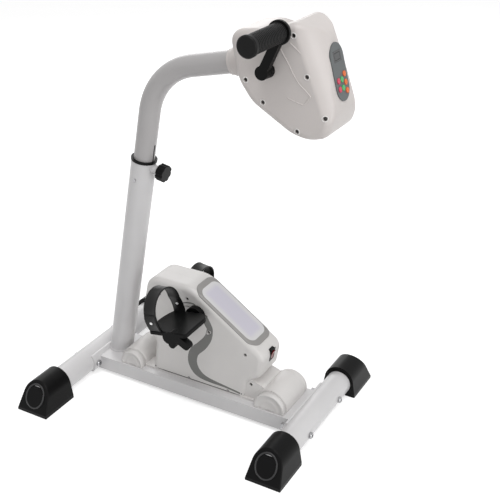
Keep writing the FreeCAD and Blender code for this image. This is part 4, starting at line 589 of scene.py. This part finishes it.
rivet_finish = metal("nickel_rivets", (0.86, 0.86, 0.86), 0.28, 2 * MM, 2 * MM, 0.4 * MM)
for name, side in (("left", -1), ("right", 1)):
    place = pedal_frame(name, side)
    body = "%s_pedal" % name
    band = lofted("%s_foot_strap" % name, [
        [place @ point for point in ring]
        for ring in along_path(line, band_section(), side, STRAP_SHIFT)])
    finish_piece(band, strap_finish, body)
    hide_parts("%s_strap" % name)
    lap = lofted("%s_strap_lap" % name, [
        [place @ point for point in ring] for ring in lap_rings(line, side)])
    finish_piece(lap, strap_finish, body)
    for leg, outside in RIVET_SEATS.items():
        order = list(range(len(line)))
        if leg == "outer":
            order.reverse()
        at = next(at for at in order if line[at].y > RIVET_HEIGHT)
        out = outward(line, at)
        axis = Vector((side * out.x, 0, out.y))
        seat = Vector((side * line[at].x, STRAP_SHIFT, line[at].y))
        turn = axis.to_track_quat("Z", "Y").to_matrix().to_4x4()
        rivet = spun("%s_%s_rivet" % (name, leg), rivet_profile(-STRAP_THICK / 2, outside),
                     place @ Matrix.Translation(seat) @ turn)
        finish_piece(rivet, rivet_finish, body)

# %% [markdown]
# The grey stripe on the pedal unit and the raised lines on the head lie on moulded faces. Both
# are drawn in the side view and then pushed sideways until a ray meets the shell, so they follow
# its rounding. The same drawing serves both hands.

# %% Things that lie on a shell
RAY_START = 0.4


def shell_tree(name):
    mesh = nodes[name].data
    return BVHTree.FromPolygons([vertex.co for vertex in mesh.vertices],
                                [polygon.vertices for polygon in mesh.polygons])


def on_shell(tree, side, spot, proud):
    """The point of a shell beside (y, z), lifted a little along the shell's normal."""
    start = Vector((side * RAY_START, spot[0], spot[1]))
    hit, normal, _, _ = tree.ray_cast(start, Vector((-side, 0, 0)))
    if hit is None:
        return None
    if normal.x * side < 0:
        normal = -normal
    return hit + normal * proud


def smooth_line(points, steps):
    """A Catmull-Rom line through points of any number of values."""
    padded = [points[0]] + list(points) + [points[-1]]
    line = []
    for at in range(1, len(padded) - 2):
        a, b, c, d = (Vector(padded[at + shift]) for shift in (-1, 0, 1, 2))
        for step in range(steps):
            t = step / steps
            line.append(0.5 * (2 * b + (c - a) * t + (2 * a - 5 * b + 4 * c - d) * t * t
                               + (3 * b - a - 3 * c + d) * t ** 3))
    line.append(Vector(padded[-2]))
    return line


# %% [markdown]
# The stripe swells and narrows like a pen stroke, and above it four short dashes run on round the
# crank. Each part of it is a row of stations: y, z and half the width, in millimetres. The edge
# columns of the film are sunk into the shell, so its rim has no visible thickness.

# %% Side stripes
STRIPE_PARTS = [
    [(-29, 196, 9.2), (-33.5, 188.5, 9.2), (-37.6, 181, 9), (-41, 171, 8.4), (-36, 151, 9.8),
     (-22, 130.5, 11.8), (-5, 112, 12.2), (1, 94, 12.7), (-1, 78, 12.5), (-11, 64, 11),
     (-32, 55.5, 6.5), (-73, 51.5, 3), (-102, 48, 2.4), (-134, 42.6, 1.2)],
    [(-19, 199.8, 2.2), (-28.6, 200.9, 2.4), (-36.5, 200.4, 1.6)],
    [(-15, 211.8, 1.2), (-18.8, 211.4, 2.2), (-28.8, 208.3, 1.8)],
    [(18.6, 215, 0.9), (7.1, 218.8, 1.7), (-4.3, 219.4, 1.6), (-9, 217.8, 1)],
    [(15, 209, 0.6), (9.5, 210.3, 1), (4, 211, 0.9)]]
STRIPE_COLUMNS = 6
STRIPE_PROUD = 0.15 * MM
stripe_finish = moulded("stripe_grey", (0.165, 0.165, 0.157), 0.36, 0.5 * MM, 0.1, 0.1, 0.06)


def add_film(shape, tree, side, stations):
    """A film laid on a shell along stations, pressed in at both edges."""
    line = smooth_line(stations, 8)
    rows = []
    for at, (y, z, half) in enumerate(line):
        ahead = (line[min(at + 1, len(line) - 1)] - line[max(at - 1, 0)]).xy.normalized()
        row = []
        for column in range(STRIPE_COLUMNS + 1):
            shift = (column / STRIPE_COLUMNS * 2 - 1) * half
            spot = ((y - ahead.y * shift) * MM, (z + ahead.x * shift) * MM)
            proud = STRIPE_PROUD if 0 < column < STRIPE_COLUMNS else -STRIPE_PROUD
            point = on_shell(tree, side, spot, proud)
            row.append(shape.verts.new(point) if point else None)
        rows.append(row)
    for row, following in zip(rows, rows[1:]):
        for column in range(STRIPE_COLUMNS):
            corners = (row[column], row[column + 1], following[column + 1], following[column])
            if None not in corners:
                shape.faces.new(corners)


def stripe(name, shell, side):
    tree = shell_tree(shell)
    shape = bmesh.new()
    for stations in STRIPE_PARTS:
        add_film(shape, tree, side, stations)
    bmesh.ops.recalc_face_normals(shape, faces=shape.faces)
    for face in shape.faces:
        face.smooth = True
        if face.normal.x * side < 0:
            face.normal_flip()
    mesh = bpy.data.meshes.new(name)
    shape.to_mesh(mesh)
    shape.free()
    return mesh_object(name, mesh)


for name, side in (("left", -1), ("right", 1)):
    band = stripe("%s_side_stripe" % name, "unit_%s_shell" % name, side)
    finish_piece(band, stripe_finish, "base")
    print(band.name, len(band.data.polygons), "faces")

# %% [markdown]
# The head's side carries a fine raised line, bent twice, and a shorter one above it. Each is a
# bead of half-round section whose lower half is buried in the shell.

# %% Raised lines on the head
BEAD_RADIUS = 1.1 * MM
HEAD_LINES = {
    "long": [(-188, 746), (-193.7, 738.3), (-199.1, 729.5), (-208.1, 716), (-215.5, 703.1),
             (-226.5, 688.5), (-240.8, 676.5), (-245.6, 672), (-246.2, 670), (-244.5, 667.5),
             (-238, 658), (-236.1, 655.8), (-233.5, 655.4), (-212.9, 660.4), (-205, 663.8)],
    "short": [(-208, 752.2), (-211, 749.9), (-219.8, 743.2), (-228.6, 736.5)]}
BEAD_SIDES = 8
BEAD_HEIGHT = 0.8


def bead_rings(line, outs, radius):
    """Rings of a bead along a line; it thins out at both ends."""
    rings = []
    for at, (point, out) in enumerate(zip(line, outs)):
        ahead = (line[min(at + 1, len(line) - 1)] - line[max(at - 1, 0)]).normalized()
        beside = ahead.cross(out).normalized()
        fade = min(1, 0.25 + min(at, len(line) - 1 - at) / 4)
        rings.append([point + (beside * math.cos(angle) + out * math.sin(angle) * BEAD_HEIGHT)
                      * radius * fade for angle in (2 * math.pi * step / BEAD_SIDES
                                                    for step in range(BEAD_SIDES))])
    return rings


def bead(name, points, shell, side, radius, steps=6):
    """A bead pushed sideways on to a shell, from (y, z) points in millimetres."""
    tree = shell_tree(shell)
    line = [on_shell(tree, side, (y * MM, z * MM), 0) for y, z in smooth_line(points, steps)]
    line = [point for point in line if point]
    return lofted(name, bead_rings(line, [Vector((side, 0, 0))] * len(line), radius))


# The raised lines take the head's darker copy of the ABS, which is painted shade.
for name, side in (("left", -1), ("right", 1)):
    for part, points in HEAD_LINES.items():
        ridge = bead("%s_head_%s_line" % (name, part), points, "head_%s_shell" % name, side,
                     BEAD_RADIUS)
        finish_piece(ridge, head_abs_painted_shade, "upper")

# %% [markdown]
# Each screw of the head, driven in from the left, sits in a well. The thin raised lip round each
# well is a painted highlight: it stands for the lit wall of the well, is a paler white than the
# head and shows as a small bright crescent. A lip is a closed ring of the same bead, with one
# ring of points for each step round.

# %% Lips of the screw wells
LIP_RADIUS = 4.6 * MM
LIP_BEAD = 0.7 * MM
LIP_STEPS = 24
HEAD_SCREWS = [(-214.7, 763.2), (-129.7, 681.2), (-161.7, 648.2), (-239.7, 701.2),
               (-272.7, 638.2), (-224.7, 609.2)]
# The lips' paler white is a painted highlight.
well_lip_painted_highlight = moulded("well_lip_abs_painted_highlight", (0.86, 0.85, 0.83), 0.3, wear=0.4)


def closed_bead(shape, line, outs, radius):
    """A bead round a closed line, added to a mesh under work."""
    rings = []
    for at, (point, out) in enumerate(zip(line, outs)):
        ahead = (line[(at + 1) % len(line)] - line[at - 1]).normalized()
        beside = ahead.cross(out).normalized()
        rings.append([shape.verts.new(point + (beside * math.cos(angle) + out * math.sin(angle))
                                      * radius)
                      for angle in (2 * math.pi * step / BEAD_SIDES
                                    for step in range(BEAD_SIDES))])
    for at, ring in enumerate(rings):
        before = rings[at - 1]
        for step in range(BEAD_SIDES):
            after = (step + 1) % BEAD_SIDES
            shape.faces.new((before[step], before[after], ring[after], ring[step]))


def well_lips(name, shell, side, spots):
    tree = shell_tree(shell)
    shape = bmesh.new()
    for y, z in spots:
        line = []
        for step in range(LIP_STEPS):
            angle = 2 * math.pi * step / LIP_STEPS
            spot = (y * MM + math.cos(angle) * LIP_RADIUS, z * MM + math.sin(angle) * LIP_RADIUS)
            point = on_shell(tree, side, spot, 0)
            if point:
                line.append(point)
        if len(line) == LIP_STEPS:
            closed_bead(shape, line, [Vector((side, 0, 0))] * LIP_STEPS, LIP_BEAD)
    return finished_mesh(name, shape)


lips = well_lips("head_screw_lips", "head_left_shell", -1, HEAD_SCREWS)
finish_piece(lips, well_lip_painted_highlight, "upper")
print("lips", len(lips.data.polygons), "faces")

# %% [markdown]
# The end of each foot cap has a large oval dish inside a raised lip. The lip is a soft grey, a
# painted highlight for the light its rim catches. It is one more closed bead, laid on the
# slanted end of the CAD's cap.

# %% Lips of the foot caps
CAP_LIP_HALF_WIDTH = 20.5 * MM
CAP_LIP_HALF_HEIGHT = 21 * MM
CAP_LIP_CENTRE = 34 * MM
CAP_LIP_BEAD = 1.7 * MM
CAP_LIP_STEPS = 64
# This grey-black is lighter than the cap's black: a painted highlight on the lip.
cap_lip_painted_highlight = moulded("cap_lip_nylon_painted_highlight", (0.035, 0.035, 0.036), 0.3, 0.7 * MM, 0.15,
                       0.1, 0.3, 0.4)


def cap_lip(name, cap, side):
    tree = shell_tree(cap)
    low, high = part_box(cap)
    middle = (low.y + high.y) / 2
    line = []
    for step in range(CAP_LIP_STEPS):
        angle = 2 * math.pi * step / CAP_LIP_STEPS
        line.append(on_shell(tree, side, (middle + math.cos(angle) * CAP_LIP_HALF_WIDTH,
                                          CAP_LIP_CENTRE + math.sin(angle) * CAP_LIP_HALF_HEIGHT),
                             0))
    shape = bmesh.new()
    closed_bead(shape, line, [Vector((side, 0, 0))] * len(line), CAP_LIP_BEAD)
    return finished_mesh(name, shape)


for end in ("front", "rear"):
    for hand, side in (("left", -1), ("right", 1)):
        oval = cap_lip("%s_%s_cap_lip" % (end, hand), "%s_%s_foot_cap" % (end, hand), side)
        finish_piece(oval, cap_lip_painted_highlight, "base")

# %% [markdown]
# The two humps of the base moulding end in round discs that stand out over the deck. A disc is
# turned from a profile with a rolled rim, and a flat cut leaves the part above the deck.

# %% Ends of the humps
DECK_TOP = 38.4 * MM
HUMP_FACE = 36 * MM
HUMP_ENDS = {"front": (-177, 43, 32), "rear": (142.5, 44, 25.5)}
HUMP_REACH = 51.5 * MM


def hump_end(name, y, z, radius, side):
    reach = HUMP_REACH - HUMP_FACE
    rim = radius * MM
    profile = [(rim, 0), (rim, reach - 2.5 * MM), (rim - 0.5 * MM, reach - 0.9 * MM),
               (rim - 1.8 * MM, reach), (rim - 3.4 * MM, reach),
               (rim - 4.4 * MM, reach - 1.2 * MM), (rim * 0.55, reach - 1.2 * MM),
               (rim * 0.5, reach - 0.6 * MM), (rim * 0.45, reach - 1.2 * MM),
               (rim * 0.02, reach - 1.2 * MM)]
    place = Matrix.Translation(Vector((side * HUMP_FACE, y * MM, z * MM))) \
        @ Matrix.Rotation(side * math.pi / 2, 4, "Y")
    piece = spun(name, profile, place, 64)
    shape = bmesh.new()
    shape.from_mesh(piece.data)
    cut = bmesh.ops.bisect_plane(shape, geom=shape.verts[:] + shape.edges[:] + shape.faces[:],
                                 plane_co=(0, 0, DECK_TOP), plane_no=(0, 0, -1),
                                 clear_outer=True)
    rim_edges = [item for item in cut["geom_cut"] if isinstance(item, bmesh.types.BMEdge)]
    bmesh.ops.contextual_create(shape, geom=rim_edges)
    shape.to_mesh(piece.data)
    shape.free()
    return piece


for end, (y, z, radius) in HUMP_ENDS.items():
    for name, side in (("left", -1), ("right", 1)):
        disc = hump_end("%s_%s_hump_end" % (end, name), y, z, radius, side)
        finish_piece(disc, housing, "base")
        print(disc.name, len(disc.data.polygons), "faces")

# %% [markdown]
# A thin dark cord along the deck is painted shade for the gap between the unit's shells and the
# base moulding. Three short dark ticks a side just above it are painted shade for the snap
# windows.

# %% Painted shade at the seam and the snap windows
SEAM_SHADE_HEIGHT = 42.6
SEAM_SHADE_RADIUS = 0.8 * MM
SEAM_SHADE_ENDS = (99, -136)
SEAM_SHADE_STEPS = 8
SNAP_WINDOW_SHADES = (92, 10.7, -80)
SNAP_SHADE_LENGTH = 6
SNAP_SHADE_HEIGHT = 45.6
SNAP_SHADE_RADIUS = 0.9 * MM
SNAP_SHADE_STEPS = 3
# Cord and ticks share one dark finish, which is painted shade.
seam_painted_shade = moulded("painted_seam_shade", (0.03, 0.03, 0.032), 0.5, 0.5 * MM, 0.1, 0.03, 0.1, 0.3)
for name, side in (("left", -1), ("right", 1)):
    shell = "unit_%s_shell" % name
    run = [(SEAM_SHADE_ENDS[0] + (SEAM_SHADE_ENDS[1] - SEAM_SHADE_ENDS[0]) * step / SEAM_SHADE_STEPS, SEAM_SHADE_HEIGHT)
           for step in range(SEAM_SHADE_STEPS + 1)]
    seam_shade_line = bead("%s_unit_seal" % name, run, shell, side, SEAM_SHADE_RADIUS, 4)
    finish_piece(seam_shade_line, seam_painted_shade, "base")
    for number, middle in enumerate(SNAP_WINDOW_SHADES, 1):
        run = [(middle - SNAP_SHADE_LENGTH / 2 + SNAP_SHADE_LENGTH * step / SNAP_SHADE_STEPS, SNAP_SHADE_HEIGHT)
               for step in range(SNAP_SHADE_STEPS + 1)]
        snap_shade = bead("%s_snap_hook_%d" % (name, number), run, shell, side, SNAP_SHADE_RADIUS, 3)
        finish_piece(snap_shade, seam_painted_shade, "base")

# %% [markdown]
# The mast is welded to the deck. The weld is a rippled bead round the tube's foot, so rays are
# sent at the tube just above the deck, and the bead runs through the points where they land.

# %% Weld at the mast's foot
WELD_RADIUS = 1.6 * MM
WELD_STEPS = 96
WELD_RIPPLES = 32
WELD_HEIGHT = 39.2 * MM
WELD_RIPPLE = 0.25 * MM
WELD_RING_REACH = 12 * MM
WELD_RAY_START = 80 * MM


def weld(name, tube, height):
    tree = shell_tree(tube)
    ring = [vertex.co for vertex in nodes[tube].data.vertices
            if abs(vertex.co.z - height) < WELD_RING_REACH]
    middle = sum(ring, Vector()) / len(ring)
    shape = bmesh.new()
    line, outs = [], []
    for step in range(WELD_STEPS):
        angle = 2 * math.pi * step / WELD_STEPS
        aim = Vector((math.cos(angle), math.sin(angle), 0))
        start = Vector((middle.x, middle.y, height)) + aim * WELD_RAY_START
        hit, _, _, _ = tree.ray_cast(start, -aim)
        if hit:
            line.append(hit)
            outs.append(aim)
    if len(line) == WELD_STEPS:
        turns = 2 * math.pi * WELD_RIPPLES / WELD_STEPS
        ripple = [point + Vector((0, 0, WELD_RIPPLE * math.sin(turns * at)))
                  for at, point in enumerate(line)]
        closed_bead(shape, ripple, outs, WELD_RADIUS)
    print(name, len(line), "of", WELD_STEPS, "rays met the tube")
    return finished_mesh(name, shape)


mast_weld = weld("mast_foot_weld", "mast_outer_tube", WELD_HEIGHT)
finish_piece(mast_weld, stand_paint, "base")

# %% [markdown]
# The floor is pale and plain. It glows a little for the camera and in reflections, so it shows as
# the white of the photo's page and still takes the stand's shadow. The world does the same: it is
# seen as white, and lights the object with an even fill of about a third of that.

# %% Floor and world
FLOOR_SIZE = 30
FLOOR_DROP = 0.3 * MM
FLOOR_GLOW = 0.58
WORLD_FILL = 0.36
floor_mesh = bpy.data.meshes.new("floor")
corner = FLOOR_SIZE / 2
floor_mesh.from_pydata([(-corner, -corner, 0), (corner, -corner, 0), (corner, corner, 0),
                        (-corner, corner, 0)], [], [(0, 1, 2, 3)])
floor = mesh_object("floor", floor_mesh)
floor.location.z = -FLOOR_DROP


def seen_rays(finish):
    """1 for rays that show the picture: from the camera, in a reflection or through glass."""
    camera_rays = finish.node("ShaderNodeLightPath", {}, {}, "Is Camera Ray")
    outputs = camera_rays.socket.node.outputs
    return camera_rays.larger(Wire(finish, outputs["Is Glossy Ray"])) \
        .larger(Wire(finish, outputs["Is Transmission Ray"]))


floor_finish = Finish("pale_floor", {"Roughness": 0.9, "Specular IOR Level": 0.1,
                                     "Emission Strength": FLOOR_GLOW})
floor_finish.give(base_color=(0.80, 0.80, 0.80),
                  emission_color=floor_finish.mix(seen_rays(floor_finish), (0.0, 0.0, 0.0),
                                                  (1.0, 1.0, 1.0)))
floor.data.materials.append(floor_finish.material)


class Sky(Finish):
    """The world, dressed with the same helpers as a material."""

    def __init__(self, name, colour):
        world = bpy.data.worlds.new(name)
        bpy.context.scene.world = world
        world.use_nodes = True
        self.tree = world.node_tree
        self.shader = self.tree.nodes["Background"]
        self.feed(colour, self.shader.inputs["Color"])


sky = Sky("studio", (1.0, 1.0, 1.0))
sky.give(strength=WORLD_FILL + (1 - WORLD_FILL) * seen_rays(sky))

# %% [markdown]
# Three soft lamps light the object: a large one overhead on the camera's side, a weak one from
# the user's side for the console and the front, and one from the far right behind, which draws
# the bright edges on the tubes and a sheen on the black tops.

# %% Lamps
AIM = Vector((0, -0.05, 0.35))


def softbox(name, place, size, watts):
    data = bpy.data.lights.new(name, "AREA")
    data.shape = "RECTANGLE"
    data.size = size[0]
    data.size_y = size[1]
    data.energy = watts
    lamp = bpy.data.objects.new(name, data)
    bpy.context.scene.collection.objects.link(lamp)
    lamp.location = place
    lamp.rotation_euler = (Vector(place) - AIM).to_track_quat("Z", "Y").to_euler()
    return lamp


softbox("overhead_softbox", (-0.9, -0.8, 4.6), (3.2, 3.2), 98)
softbox("user_softbox", (-1.3, -3.4, 1.2), (2.0, 2.0), 34)
softbox("rear_softbox", (2.2, 1.8, 1.5), (1.6, 1.6), 13)
bpy.context.scene.view_settings.view_transform = "Standard"

# %% [markdown]
# Last, the nodes that are still without a finish are printed.

# %% Close
print("without a finish:", sorted(set(nodes) - dressed))
